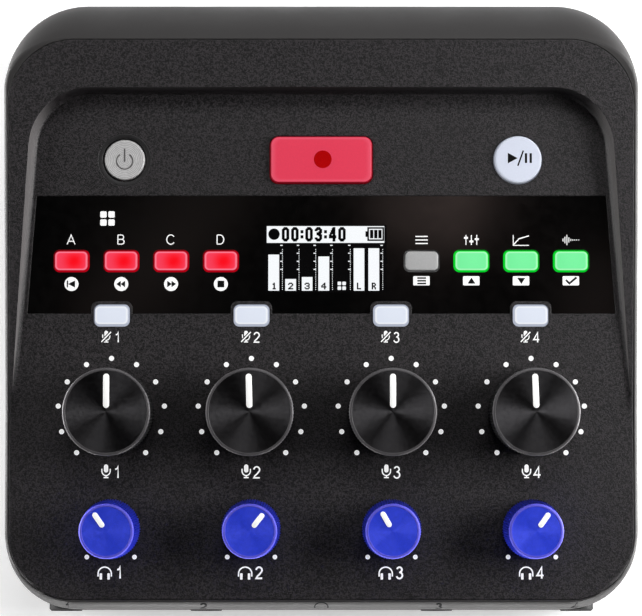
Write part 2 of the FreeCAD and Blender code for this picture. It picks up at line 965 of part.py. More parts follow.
def side_jacks():
    """Two jacks that open towards +X."""
    jack = phone_jack(side_jack_stand_out)
    return Part.makeCompound([
        moved(jack, half_width + side_jack_stand_out, y, jack_height, -90) for y in side_jack_y
    ])


def slot_along_x(y, z, width, height, left, right):
    """Rounded slot that runs along X."""
    wire = rectangle(0, 0, height, width, 0.49 * min(width, height))
    tool = prism(wire, left, right)
    tool.rotate(Vector(0, 0, 0), Vector(0, 1, 0), 90)
    tool.translate(Vector(0, y, z))
    return tool


def usb_socket():
    """Data and power socket behind a slot in the right wall."""
    mouth = half_width - usb_setback
    end = mouth - usb_length
    shell = 2 * usb_shell
    outside = slot_along_x(usb_y, usb_z, usb_width + shell, usb_height + shell, end, mouth)
    inside = slot_along_x(usb_y, usb_z, usb_width, usb_height, end + socket_end_wall, mouth + 1)
    half_tongue = usb_tongue_width / 2
    half_thick = usb_tongue_thickness / 2
    tongue_plate = box(
        end, mouth - usb_tongue_setback, usb_y - half_tongue, usb_y + half_tongue,
        usb_z - half_thick, usb_z + half_thick,
    )
    return outside.cut(inside).fuse(tongue_plate)


def card_socket():
    """Flat metal socket for a memory card behind a slot in the left wall."""
    mouth = -half_width + case_wall
    end = mouth + card_length
    half = card_width / 2
    inner_bottom = main_board_top + card_shell
    outside = box(
        mouth, end, card_y - half - card_shell, card_y + half + card_shell,
        main_board_top, inner_bottom + card_slot + card_shell,
    )
    inside = box(
        mouth - 1, end - socket_end_wall, card_y - half, card_y + half,
        inner_bottom, inner_bottom + card_slot,
    )
    return outside.cut(inside)


# Main case

def main_case(form):
    """Walls and shoulders, with a ledge inside the upper seam that the cover lies on."""
    low_room = prism(inner_outline(), 0, rear_shoulder_foot)
    high_room = rear_shoulder(case_wall, cover_thickness + ledge_thickness)
    room = low_room.fuse(high_room).cut(above_top(cover_thickness + ledge_thickness))
    rebate = prism(seam_outline(0), 0, reach).common(above_top(cover_thickness))
    opening = prism(seam_outline(ledge_width), seam_height, reach)
    relief = tub_form(tub_wall + cover_gap, cover_thickness + cover_gap, 0)
    relief = relief.cut(above_top(cover_thickness))
    pads = [rod_along_y(xlr_radius, x, xlr_height, xlr_front, wall_inside_rear) for x in channel_x]
    room = room.cut(Part.makeCompound(pads))
    cuts = [room, rebate, opening, relief]
    for x in channel_x:
        cuts.append(rod_along_y(xlr_mouth, x, xlr_height, xlr_front - 1, half_depth + 1))
        half = latch_width / 2 + latch_gap
        cuts.append(box(
            x - half, x + half, xlr_front - 1, half_depth + 1,
            xlr_height, xlr_height + latch_top + latch_gap,
        ))
    hole = jack_collar + jack_collar_gap
    for x in front_jack_x():
        cuts.append(rod_along_y(hole, x, jack_height, -half_depth - 1, -half_depth + 3 * case_wall))
    for y in side_jack_y:
        cuts.append(rod_along_x(hole, y, jack_height, half_width - 2 * case_wall, half_width + 1))
    margin = 2 * wall_slot_gap
    cuts.append(slot_along_x(
        usb_y, usb_z, usb_width + 2 * usb_shell + margin, usb_height + 2 * usb_shell + margin,
        half_width - 2 * case_wall, half_width + 1,
    ))
    cuts.append(slot_along_x(
        card_y, main_board_top + card_shell + card_slot / 2, card_width + margin, card_slot + margin,
        -half_width - 1, -half_width + 2 * case_wall,
    ))
    return form.cut(Part.makeCompound(cuts))


# Bottom cover, battery bay and door

def door_span():
    """(low y, high y) of the battery door's opening at its hinge axis and at its far edge."""
    return bay_front - door_ledge, bay_rear + door_ledge


def hinge_axis():
    """(y, z) of the battery door's hinge."""
    return door_span()[0] + door_thickness / 2, foot_height + door_thickness / 2


def bottom_cover():
    outline = plan(0, 0, front_corner, rear_corner)
    tray = prism(outline, foot_height, seam_height)
    under = [e for e in tray.Edges if e.BoundBox.ZMax < foot_height + touching]
    tray = tray.makeFillet(floor_edge_round, under)
    ring = prism(outline, seam_height - seam_groove, seam_height + 1)
    drawn_in = plan(
        seam_groove, seam_groove, front_corner - seam_groove, rear_corner - seam_groove, seam_groove
    )
    ring = ring.cut(prism(drawn_in, 0, reach))
    hollow = prism(inner_outline(lip_gap + lip_thickness), floor_top, seam_height + lip_height)
    lip = prism(inner_outline(lip_gap), floor_top, seam_height + lip_height)
    side = bay_half_width + door_ledge + bay_side
    front, rear = door_span()
    bay = box(-side, side, front - bay_side, rear + bay_side, floor_top - 0.5, bay_top + bay_roof)
    body = tray.cut(ring).fuse(lip).cut(hollow)
    adds = [bay]
    for x, y in main_post_places():
        adds.append(rod(post_radius, x, y, floor_top - 0.5, main_board_height))
    for x, y in boss_places():
        adds.append(rod(tube_radius, x, y, floor_top - 0.5, boss_joint_height))
    body = body.multiFuse(adds)
    room = box(-bay_half_width, bay_half_width, bay_front, bay_rear, 0, bay_top)
    ribs = []
    for i in range(1, cell_count):
        x = -bay_half_width + i * (cell_diameter + cell_play)
        half = bay_rib_width / 2
        ribs.append(box(x - half, x + half, bay_front, bay_rear, bay_top - bay_rib, bay_top))
    room = room.cut(Part.makeCompound(ribs))
    door_room = box(
        -bay_half_width - door_ledge - door_gap, bay_half_width + door_ledge + door_gap,
        front - door_gap, rear + door_gap, 0, door_top,
    )
    cuts = [room, door_room]
    hinge_y, hinge_z = hinge_axis()
    pin_reach = bay_half_width + door_ledge + hinge_pin_length + hinge_fit
    cuts.append(rod_along_x(hinge_pin_radius + hinge_fit, hinge_y, hinge_z, -pin_reach, pin_reach))
    scoop = Part.makeSphere(
        finger_scoop_radius,
        Vector(0, rear + door_gap, foot_height - finger_scoop_radius + finger_scoop_depth),
    )
    cuts.append(scoop.common(box(-reach, reach, rear, reach, -reach, floor_top)))
    for x, y in boss_places():
        cuts.append(rod(case_screw_head + screw_play * 2, x, y, 0, boss_joint_height - tube_seat))
        cuts.append(rod(case_screw_radius + screw_play, x, y, 0, boss_joint_height + 1))
    for x, y in main_post_places():
        cuts.append(rod(board_screw_radius + pilot_play, x, y,
                        main_board_top - board_screw_length, main_board_height + 1))
    for x, y in foot_places():
        cuts.append(rod(foot_radius + cover_gap, x, y, 0, foot_height + foot_sink))
    return body.cut(Part.makeCompound(cuts)).removeSplitter()


def battery_door():
    """Flush door with a round hinge edge, hinge pins and a springy latch tongue."""
    front, rear = door_span()
    hinge_y, hinge_z = hinge_axis()
    side = bay_half_width + door_ledge
    plate = box(-side, side, hinge_y, rear, foot_height, door_top)
    edge = rod_along_x(door_thickness / 2, hinge_y, hinge_z, -side, side)
    pin_reach = side + hinge_pin_length
    pins = rod_along_x(hinge_pin_radius, hinge_y, hinge_z, -pin_reach, pin_reach)
    body = plate.multiFuse([edge, pins]).removeSplitter()
    cuts = []
    for x in (-latch_tongue_width / 2, latch_tongue_width / 2):
        cuts.append(box(
            x - latch_tongue_slot / 2, x + latch_tongue_slot / 2, rear - latch_tongue_length, rear + 1,
            0, door_top + 1,
        ))
    half = grip_groove_length / 2
    for i in (-1, 0, 1):
        y = rear - latch_tongue_length / 2 + i * grip_groove_pitch
        cuts.append(rod_along_x(grip_groove_radius, y, foot_height, -half, half))
    return body.cut(Part.makeCompound(cuts))


def battery_contacts():
    """Plates at both ends of each cell, with a cone spring at one end and a button at the other."""
    solids = []
    half = contact_width / 2
    z = (door_top + bay_top - bay_rib) / 2
    for i in range(cell_count):
        x = -bay_half_width + (i + 0.5) * (cell_diameter + cell_play)
        for end, (y, inward) in enumerate(((bay_front, 1), (bay_rear, -1))):
            face_y = y + inward * contact_thickness
            plate = box(
                x - half, x + half, min(y, face_y), max(y, face_y),
                z - contact_height / 2, z + contact_height / 2,
            )
            sprung = (i + end) % 2 == 0
            radius, bulge = (spring_radius, spring_bulge) if sprung else (button_radius, button_bulge)
            tip = Part.makeCone(radius, radius / 2, bulge, Vector(x, face_y, z), Vector(0, inward, 0))
            solids.append(plate.fuse(tip))
    return Part.makeCompound(solids)


def foot_places():
    x = half_width - foot_side
    return [(side * x, y) for side in (-1, 1)
            for y in (-half_depth + foot_front, half_depth - foot_rear)]


def rubber_feet():
    solids = []
    for x, y in foot_places():
        pad = rod(foot_radius, x, y, 0, foot_height + foot_sink)
        rim = [e for e in pad.Edges if e.BoundBox.ZMax < touching]
        solids.append(pad.makeChamfer(foot_edge, rim))
    return Part.makeCompound(solids)


# Screws

def screw(radius, head_radius, head_height, length):
    """Pan head below z = 0 and shank above it, with a cross recess in the head."""
    head = rod(head_radius, 0, 0, -head_height, 0)
    rim = [e for e in head.Edges if e.BoundBox.ZMax < touching - head_height]
    head = head.makeChamfer(screw_head_edge, rim)
    shank = rod(radius, 0, 0, 0, length)
    arm = head_radius - 2 * screw_head_edge
    half = screw_slot_width / 2
    slot = box(-arm, arm, -half, half, -head_height, -head_height / 2)
    cross = slot.fuse(moved(slot, 0, 0, 0, 90))
    return head.fuse(shank).cut(cross)


def board_screws():
    """Screws of the control board, from below, and of the main board, from above."""
    small = screw(board_screw_radius, board_screw_head, board_screw_head_height, board_screw_length)
    solids = []
    for x, v in cover_post_places():
        solids.append(on_panel(moved(small, x, v, -panel_board_depth - board_thickness)))
    small.rotate(Vector(0, 0, 0), Vector(1, 0, 0), 180)
    for x, y in main_post_places():
        solids.append(moved(small, x, y, main_board_top))
    return Part.makeCompound(solids)


def case_screws():
    long = screw(case_screw_radius, case_screw_head, case_screw_head_height, case_screw_length)
    head_seat = boss_joint_height - tube_seat
    return Part.makeCompound([moved(long, x, y, head_seat) for x, y in boss_places()])


# Assembly

def fixed_pieces():
    form = outer_form()
    return {
        "top_cover": top_cover(form),
        "main_case": main_case(form),
        "bottom_cover": bottom_cover(),
        "battery_contacts": battery_contacts(),
        "rubber_feet": rubber_feet(),
        "case_screws": case_screws(),
        "board_screws": board_screws(),
        "window_lens": window_lens(),
        "display_panel": display_panel(),
        "display_holder": display_holder(),
        "control_board": panel_board(),
        "tact_switches": tact_switches(),
        "mic_pots": potentiometers(0),
        "headphone_pots": potentiometers(headphone_row),
        "main_board": main_board(),
        "socket_board": socket_board(),
        "xlr_shells": xlr_shells(),
        "xlr_inserts": xlr_inserts(),
        "headphone_jacks": headphone_jacks(),
        "side_jacks": side_jacks(),
        "usb_socket": usb_socket(),
        "card_socket": card_socket(),
    }


def key_pieces():
    pieces = {
        "record_key": record_key(),
        "play_key": round_key(round_key_offset, play_radius, play_rise),
        "power_key": round_key(-round_key_offset, power_radius, power_rise),
    }
    names = ["pad_a", "pad_b", "pad_c", "pad_d", "menu_key", "up_key", "down_key", "enter_key"]
    for name, (x, v) in zip(names, pad_places()):
        pieces[name] = small_key(x, v)
    for number, (x, v) in enumerate(mute_places(), start=1):
        pieces[f"mute_key_{number}"] = small_key(x, v)
    return pieces


def knob_row(kind, row, turns, radius, height, taper, flutes, pointer):
    """The four knobs of one kind with their shafts, each turned to its own setting."""
    one_knob = knob(radius, height, taper, flutes, pointer)
    one_shaft = shaft(height)
    pieces = {}
    for number, (x, turn) in enumerate(zip(channel_x, turns), start=1):
        pieces[f"{kind}_knob_{number}"] = on_panel(moved(one_knob, x, row, 0, turn))
        pieces[f"{kind}_shaft_{number}"] = on_panel(moved(one_shaft, x, row, 0, turn))
    return pieces


def moving_pieces():
    pieces = {"battery_door": battery_door()}
    pieces.update(key_pieces())
    pieces.update(knob_row(
        "mic", 0, mic_rest_angles, mic_knob_radius, mic_knob_height, mic_knob_taper,
        mic_flutes, mic_pointer,
    ))
    pieces.update(knob_row(
        "headphone", headphone_row, headphone_rest_angles, headphone_knob_radius,
        headphone_knob_height, headphone_knob_taper, headphone_flutes, headphone_pointer,
    ))
    for number, x in enumerate(channel_x, start=1):
        pieces[f"xlr_latch_{number}"] = xlr_latch(x)
    return pieces


def main():
    os.makedirs("parts", exist_ok=True)
    pieces = {**fixed_pieces(), **moving_pieces()}
    for name, shape in pieces.items():
        shape.exportStep(f"parts/{name}.step")


main()
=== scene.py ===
import json
import math

import bmesh
import bpy
from mathutils import Matrix, Vector
from mathutils.bvhtree import BVHTree


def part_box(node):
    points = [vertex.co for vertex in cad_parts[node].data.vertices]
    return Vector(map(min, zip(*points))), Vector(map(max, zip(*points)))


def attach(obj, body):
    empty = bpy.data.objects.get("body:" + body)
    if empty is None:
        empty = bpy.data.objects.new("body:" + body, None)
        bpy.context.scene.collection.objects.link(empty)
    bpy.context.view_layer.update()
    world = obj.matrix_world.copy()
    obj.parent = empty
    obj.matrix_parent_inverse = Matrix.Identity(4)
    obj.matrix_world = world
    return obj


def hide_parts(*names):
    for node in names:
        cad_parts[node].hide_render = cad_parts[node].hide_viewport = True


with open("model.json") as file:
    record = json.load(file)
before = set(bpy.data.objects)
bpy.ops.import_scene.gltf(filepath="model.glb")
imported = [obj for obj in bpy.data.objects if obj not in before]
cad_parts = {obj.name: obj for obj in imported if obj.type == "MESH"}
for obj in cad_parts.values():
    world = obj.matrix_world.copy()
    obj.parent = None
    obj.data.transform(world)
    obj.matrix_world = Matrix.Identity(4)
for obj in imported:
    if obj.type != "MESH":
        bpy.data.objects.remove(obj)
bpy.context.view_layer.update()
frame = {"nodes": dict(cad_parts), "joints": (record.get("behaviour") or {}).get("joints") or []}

# Looks of the podcast recorder. Shapes are given in millimetres, most of them in the panel's own
# coordinates: x to the right, v backwards along the tilted panel from the mic knob row, and w above it.
# Lamps, camera and floor are given in metres.

MM = 0.001
turning = next(j for j in frame["joints"] if j["name"] == "mic_knob_1_turn")
tilt = math.atan2(-turning["axis"][1], turning["axis"][2])
PANEL = Matrix.Translation((0, turning["pos_m"][1], turning["pos_m"][2])) @ Matrix.Rotation(tilt, 4, "X")

CHANNEL_PITCH = 33.64
CHANNELS = [CHANNEL_PITCH * (i - 1.5) for i in range(4)]
HEADPHONE_ROW = -28.0
PAD_ROW = 36.3
MUTE_ROW = 23.2
TRANSPORT_ROW = 60.8
ROUND_KEY_X = 47.5
PAD_START, PAD_PITCH = 24.2, 12.0
PAD_PLACES = ([-PAD_START + PAD_PITCH * i for i in (-3, -2, -1, 0)]
              + [PAD_START + PAD_PITCH * i for i in (0, 1, 2, 3)])
COVER_THICK = 2.2
PRINT_THICK = 0.03


def place(x, v, w=0.0, turn=0.0):
    """Matrix of a spot on the panel, turned clockwise by some degrees as seen from above."""
    spot = PANEL @ Matrix.Translation((x * MM, v * MM, w * MM))
    return spot @ Matrix.Rotation(-math.radians(turn), 4, "Z")


def show(name, data):
    """New object with some data, in the scene."""
    made = bpy.data.objects.new(name, data)
    bpy.context.scene.collection.objects.link(made)
    return made


# Materials

def linear(colour):
    """Linear colour of an sRGB colour given from 0 to 255."""
    shares = [c / 255 for c in colour]
    return [c / 12.92 if c <= 0.04045 else ((c + 0.055) / 1.055) ** 2.4 for c in shares] + [1.0]


class Shader:
    """Node tree of one material, with short calls for the nodes that the finishes are made of."""

    def __init__(self, name):
        self.material = bpy.data.materials.new(name)
        self.material.use_nodes = True
        self.tree = self.material.node_tree
        self.surface = self.tree.nodes["Principled BSDF"]
        self.coords = self.add("TexCoord")

    def add(self, kind, values=(), **settings):
        """New node with some settings, and with values or links for some of its sockets."""
        made = self.tree.nodes.new("ShaderNode" + kind)
        for setting, value in settings.items():
            setattr(made, setting, value)
        for socket, value in dict(values).items():
            self.feed(made.inputs[socket], value)
        return made

    def feed(self, socket, value):
        if isinstance(value, bpy.types.NodeSocket):
            self.tree.links.new(value, socket)
        else:
            socket.default_value = value

    def noise(self, size, detail=2.0, stretch=(1, 1, 1)):
        """Noise with lumps of some size in millimetres."""
        mapped = self.add("Mapping", {"Vector": self.coords.outputs["Object"], "Scale": stretch})
        made = self.add("TexNoise", {"Vector": mapped.outputs[0], "Scale": 1 / (size * MM),
                                     "Detail": detail})
        return made.outputs["Fac"]

    def ramp(self, value, low, high, start=0.0, end=1.0):
        """Smooth step from start to end, while a value goes from low to high."""
        made = self.add("MapRange", {"Value": value, "From Min": low, "From Max": high, "To Min": start,
                                     "To Max": end}, interpolation_type="SMOOTHSTEP")
        return made.outputs["Result"]

    def math(self, operation, *values):
        made = self.add("Math", operation=operation)
        for socket, value in zip(made.inputs, values):
            self.feed(socket, value)
        return made.outputs[0]

    def mix(self, factor, first, second):
        """Blend of two colours; the node keeps its colour sockets at 6 and 7, and 2."""
        made = self.add("Mix", data_type="RGBA")
        self.feed(made.inputs[0], factor)
        self.feed(made.inputs[6], first)
        self.feed(made.inputs[7], second)
        return made.outputs[2]

    def edge(self, radius):
        """Share of an edge, 0 on flat ground and near 1 on sharp edges, and the normal rounded over it."""
        rounded = self.add("Bevel", {"Radius": radius * MM}, samples=6)
        straight = self.add("NewGeometry")
        dot = self.add("VectorMath", {0: rounded.outputs[0], 1: straight.outputs["Normal"]},
                       operation="DOT_PRODUCT")
        return self.ramp(dot.outputs["Value"], 0.99, 0.82), rounded.outputs[0]

    def bump(self, height, depth, normal=None):
        made = self.add("Bump", {"Height": height, "Distance": depth * MM, "Strength": 1.0})
        if normal is not None:
            self.feed(made.inputs["Normal"], normal)
        return made.outputs[0]


def finish(name, colour, rough, grain, depth, metallic=0.0, specular=0.5, coat=0.0, mottle=0.12,
           detail=2.0, spread=0.06, broad=18.0, wear=None, soften=False, glow=0.0, stretch=(1, 1, 1),
           reach=0.2, painted_side_light=None):
    """Moulded, painted or metal surface with fine grain and broad mottling.

    grain and broad are the sizes of the two patterns, depth is the height of the grain, and reach is
    how far from its middle the pattern gets to full contrast. wear is (tone, radius, amount) of rubbed
    edges, which soften also rounds. painted_side_light is painted light: a lighter tone for walls that
    look to the left or right, standing in for the light of the side lamps on them. glow is an even
    emission of the base colour, which makes the floor evenly bright and which is painted light on
    prints and keys that have no lamp under them.
    """
    s = Shader(name)
    fine = s.noise(grain, detail, stretch)
    wide = s.noise(broad, 3.0)
    level = s.math("ADD", s.math("MULTIPLY", fine, 0.6), s.math("MULTIPLY", wide, 0.4))
    dark, light = ([c * (1 + sign * mottle * 2) for c in linear(colour)[:3]] + [1] for sign in (-1, 1))
    base = s.mix(s.ramp(level, 0.5 - reach, 0.5 + reach), dark, light)
    roughness = s.ramp(s.math("ADD", s.math("MULTIPLY", wide, 0.7), s.math("MULTIPLY", fine, 0.3)),
                       0.3, 0.7, rough - spread, rough + spread)
    # Painted light: walls that look to the left or right are given a lighter tone, in place of the light of
    # the side lamps on them.
    if painted_side_light:
        facing = s.add("SeparateXYZ", {0: s.coords.outputs["Normal"]})
        base = s.mix(s.ramp(s.math("ABSOLUTE", facing.outputs["X"]), 0.55, 0.97), base, linear(painted_side_light))
    normal = None
    if wear:
        tone, radius, amount = wear
        worn, normal = s.edge(radius)
        worn = s.math("MULTIPLY", worn, s.ramp(s.noise(1.4, 3.0), 0.35, 0.65, amount * 0.3, amount))
        base = s.mix(worn, base, linear(tone))
        normal = normal if soften else None
    s.feed(s.surface.inputs["Base Color"], base)
    s.feed(s.surface.inputs["Roughness"], roughness)
    s.feed(s.surface.inputs["Normal"], s.bump(fine, depth, normal))
    s.surface.inputs["Metallic"].default_value = metallic
    s.surface.inputs["Specular IOR Level"].default_value = specular
    s.surface.inputs["Coat Weight"].default_value = coat
    s.surface.inputs["Coat Roughness"].default_value = 0.05
    # Even emission of the base colour: an evenly bright floor, and painted light on prints and keys with no
    # lamp under them.
    if glow:
        s.feed(s.surface.inputs["Emission Color"], base)
        s.surface.inputs["Emission Strength"].default_value = glow
    return s.material


def lit_key(name, centre, middle, rim, side, strength, base, spot, hot=(0.5, -0.1)):
    """Translucent key with a lamp under it: a hot spot, a paler rim and saturated side walls.

    centre is the tone of the hot spot, which lies at hot and is spot wide, and middle is the tone
    round it. The cap's mark (see key) tells the rim and the side walls from the top.
    """
    s = Shader(name)
    fine = s.noise(0.35)
    mark = s.add("Attribute", attribute_name="mark").outputs["Fac"]
    away = s.add("VectorMath", {0: s.coords.outputs["Object"], 1: (hot[0] * MM, hot[1] * MM, 0)},
                 operation="DISTANCE").outputs["Value"]
    away = s.math("ADD", away, s.math("MULTIPLY", s.math("SUBTRACT", s.noise(1.2), 0.5), 0.4 * MM))
    glow = s.mix(s.ramp(away, 0.15 * spot * MM, spot * MM), linear(centre), linear(middle))
    glow = s.mix(s.ramp(mark, 0.9, 1.02), glow, linear(rim))
    glow = s.mix(s.ramp(mark, 1.2, 1.7), glow, linear(side))
    glow = s.mix(s.math("MULTIPLY", fine, 0.05), glow, linear(base))
    s.feed(s.surface.inputs["Emission Color"], glow)
    s.surface.inputs["Emission Strength"].default_value = strength
    shade = [c * 0.7 for c in linear(base)[:3]] + [1]
    s.feed(s.surface.inputs["Base Color"], s.mix(fine, shade, linear(base)))
    s.feed(s.surface.inputs["Roughness"], s.ramp(fine, 0.3, 0.7, 0.4, 0.5))
    s.feed(s.surface.inputs["Normal"], s.bump(fine, 0.002))
    s.surface.inputs["Specular IOR Level"].default_value = 0.12
    return s.material


def spun(name, colour, rough, metallic, groove, depth, anisotropic):
    """Face turned on a lathe: fine rings about its own middle, with the sheen across them."""
    s = Shader(name)
    flat = s.add("VectorMath", {0: s.coords.outputs["Object"], 1: (1, 1, 0)}, operation="MULTIPLY")
    radius = s.add("VectorMath", {0: flat.outputs[0]}, operation="LENGTH").outputs["Value"]
    rings = s.math("SINE", s.math("MULTIPLY", radius, 2 * math.pi / (groove * MM)))
    uneven = s.noise(0.9, 3.0)
    height = s.math("ADD", s.math("MULTIPLY", rings, 0.5), uneven)
    dark, light = ([c * k for c in linear(colour)[:3]] + [1] for k in (0.8, 1.2))
    s.feed(s.surface.inputs["Base Color"], s.mix(s.ramp(height, 0.0, 1.0), dark, light))
    s.feed(s.surface.inputs["Roughness"], s.ramp(uneven, 0.3, 0.7, rough - 0.04, rough + 0.04))
    s.feed(s.surface.inputs["Normal"], s.bump(height, depth))
    s.feed(s.surface.inputs["Tangent"], s.add("Tangent", direction_type="RADIAL", axis="Z").outputs[0])
    s.surface.inputs["Metallic"].default_value = metallic
    s.surface.inputs["Anisotropic"].default_value = anisotropic
    s.surface.inputs["Anisotropic Rotation"].default_value = 0.25
    return s.material


def screen(name, colour, strength):
    """Lit display dots: an even glow with the fine grid of the display in it."""
    s = Shader(name)
    fine = s.noise(0.25, 1.0)
    glow = s.mix(s.ramp(fine, 0.2, 0.8), [c * 0.93 for c in linear(colour)[:3]] + [1], linear(colour))
    s.feed(s.surface.inputs["Emission Color"], glow)
    s.surface.inputs["Emission Strength"].default_value = strength
    s.surface.inputs["Base Color"].default_value = (0.02, 0.02, 0.02, 1)
    s.feed(s.surface.inputs["Roughness"], s.ramp(fine, 0.2, 0.8, 0.2, 0.3))
    s.feed(s.surface.inputs["Normal"], s.bump(fine, 0.002))
    return s.material


LOOK = {
    # The cover's walls that look to the left or right are lightened by painted light (painted_side_light).
    "cover": finish("cover_textured", (31, 28, 30), 0.54, specular=0.4, mottle=0.47, grain=0.32,
                    depth=0.09, detail=3.0, broad=0.7, reach=0.08, painted_side_light=(104, 101, 101),
                    wear=((96, 94, 96), 0.3, 0.2), soften=True),
    "case": finish("case_satin", (36, 34, 34), 0.58, specular=0.5, mottle=0.06, grain=0.3, depth=0.006,
                   wear=((120, 116, 114), 0.3, 0.2), soften=True),
    "gloss": finish("window_gloss", (3, 3, 3), 0.12, specular=0.5, mottle=0.3, grain=2.5, depth=0.0015,
                    broad=26, spread=0.02, wear=((70, 68, 68), 0.12, 0.4)),
    "glass": finish("display_glass", (16, 18, 20), 0.1, mottle=0.1, grain=1.0, depth=0.001),
    "plain": finish("moulded_black", (24, 24, 25), 0.5, mottle=0.1, grain=0.35, depth=0.012),
    "ring": finish("ring_black", (30, 29, 30), 0.5, specular=0.4, mottle=0.15, grain=0.3, depth=0.02,
                   wear=((92, 90, 92), 0.12, 0.5)),
    "rubber": finish("foot_rubber", (30, 30, 31), 0.8, specular=0.3, mottle=0.15, grain=0.25, depth=0.03),
    "switch": finish("switch_black", (28, 28, 30), 0.45, grain=0.3, depth=0.008),
    "board": finish("board_green", (22, 66, 40), 0.35, mottle=0.12, grain=0.8, depth=0.01, coat=0.5),
    "steel": finish("zinc_steel", (168, 168, 172), 0.34, metallic=1.0, mottle=0.08, grain=0.2, depth=0.006,
                    stretch=(1, 6, 1), wear=((215, 215, 218), 0.15, 0.6)),
    "screw": finish("black_steel", (46, 46, 48), 0.38, metallic=0.8, mottle=0.1, grain=0.2, depth=0.006,
                    wear=((140, 140, 142), 0.12, 0.7)),
    "shell": finish("socket_black", (9, 9, 10), 0.62, specular=0.2, grain=0.3, depth=0.01,
                    wear=((46, 46, 47), 0.25, 0.3)),
    "nickel": finish("contact_nickel", (188, 184, 170), 0.3, metallic=1.0, mottle=0.08, grain=0.3,
                     depth=0.006),
    "gold": finish("contact_gold", (214, 170, 84), 0.28, metallic=1.0, mottle=0.08, grain=0.3,
                   depth=0.004),
    "knob": finish("knob_rubber_black", (20, 20, 21), 0.5, specular=0.4, mottle=0.12, grain=0.3,
                   depth=0.015, wear=((60, 60, 62), 0.15, 0.4)),
    "blue": finish("knob_blue", (10, 30, 165), 0.42, mottle=0.1, grain=0.3, depth=0.012,
                   wear=((50, 66, 205), 0.15, 0.4)),
    "knob_rim": spun("knob_rim_black", (82, 80, 82), 0.42, 0.4, 0.12, 0.004, 0.2),
    "knob_cap": spun("knob_cap_black", (69, 68, 70), 0.4, 1.0, 0.22, 0.006, 0.84),
    "blue_rim": spun("knob_rim_blue", (86, 83, 208), 0.58, 0.15, 0.12, 0.004, 0.1),
    "blue_cap": spun("knob_cap_blue", (47, 68, 226), 0.46, 0.25, 0.22, 0.005, 0.7),
    # The white print glows though no lamp is under it: painted light that keeps it white, also in the shade
    # of the knobs.
    "ink": finish("print_white", (190, 190, 190), 0.55, specular=0.2, mottle=0.03, grain=0.25, depth=0.002,
                  glow=1.1),
    "dark_ink": finish("print_black", (12, 12, 13), 0.6, specular=0.1, mottle=0.1, grain=0.25, depth=0.003),
    "cover_ink": finish("print_cover", (30, 28, 30), 0.55, specular=0.3, mottle=0.2, grain=0.3, depth=0.01),
    "grey_ink": finish("print_grey", (96, 94, 94), 0.5, specular=0.2, mottle=0.05, grain=0.25, depth=0.003),
    "red_ink": finish("print_red", (158, 0, 2), 0.5, specular=0.05, mottle=0.05, grain=0.25, depth=0.003,
                      glow=0.25),
    # The pointers glow though no lamp is in them: painted light.
    "pointer": finish("pointer_white", (236, 236, 234), 0.45, specular=0.2, mottle=0.02, grain=0.3,
                      depth=0.004, glow=0.35),
    "red": lit_key("pad_lit_red", (255, 0, 18), (250, 66, 92), (255, 128, 152), (176, 0, 20), 0.95,
                   (70, 0, 6), spot=3.9, hot=(0.7, -0.05)),
    "green": lit_key("key_lit_green", (134, 245, 174), (129, 241, 169), (185, 255, 205), (0, 214, 44),
                     0.85, (20, 120, 44), spot=4.0),
    "white": lit_key("key_lit_white", (230, 236, 249), (228, 234, 248), (250, 252, 255),
                     (186, 192, 208), 0.8, (110, 114, 122), spot=4.0),
    # The grey key glows faintly though no lamp is under it: painted light.
    "grey": finish("key_grey", (168, 168, 168), 0.45, specular=0.15, mottle=0.03, grain=0.35, depth=0.004,
                   wear=((214, 214, 214), 0.5, 0.5), glow=0.08),
    "power": spun("power_grey", (194, 193, 193), 0.45, 0.1, 0.4, 0.008, 0.3),
    # The play key glows though no lamp is under it: painted light that brightens its white.
    "play": finish("play_white", (200, 205, 219), 0.5, specular=0.1, mottle=0.01, grain=0.35, depth=0.003,
                   glow=0.2),
    "record": lit_key("record_red", (226, 70, 95), (228, 72, 97), (238, 100, 124), (110, 0, 10),
                      0.62, (160, 30, 50), spot=8.0),
    "screen": screen("screen_white", (244, 247, 250), 1.05),
    "screen_dark": finish("screen_dark", (4, 4, 5), 0.25, specular=0.2, mottle=0.1, grain=0.3, depth=0.001),
}


# Mesh building

def outline(width, height, corner, grow=0.0, steps=7):
    """Points of a rounded rectangle about the origin, always the same count."""
    corner = max(corner + grow, 0.05)
    half_x, half_y = width / 2 + grow - corner, height / 2 + grow - corner
    points = []
    for i, (sx, sy) in enumerate(((1, 1), (-1, 1), (-1, -1), (1, -1))):
        for k in range(steps + 1):
            a = math.radians(90 * i + 90 * k / steps)
            points.append((sx * half_x + corner * math.cos(a), sy * half_y + corner * math.sin(a)))
    return points


def circle(radius, count=96):
    """Points of a circle about the origin."""
    return [(radius * math.cos(2 * math.pi * i / count), radius * math.sin(2 * math.pi * i / count))
            for i in range(count)]


def ridged(radius, ridges, depth, count):
    """Circle with fine upright ridges on it."""
    points = []
    for i in range(count):
        a = 2 * math.pi * i / count
        r = radius - depth * (0.5 - 0.5 * math.cos(a * ridges)) ** 0.7
        points.append((r * math.cos(a), r * math.sin(a)))
    return points


def scaled(points, share):
    """Points drawn in towards the origin."""
    return [(x * share, y * share) for x, y in points]


EDGE_MARK, SIDE_MARK = 2.2, 3.0


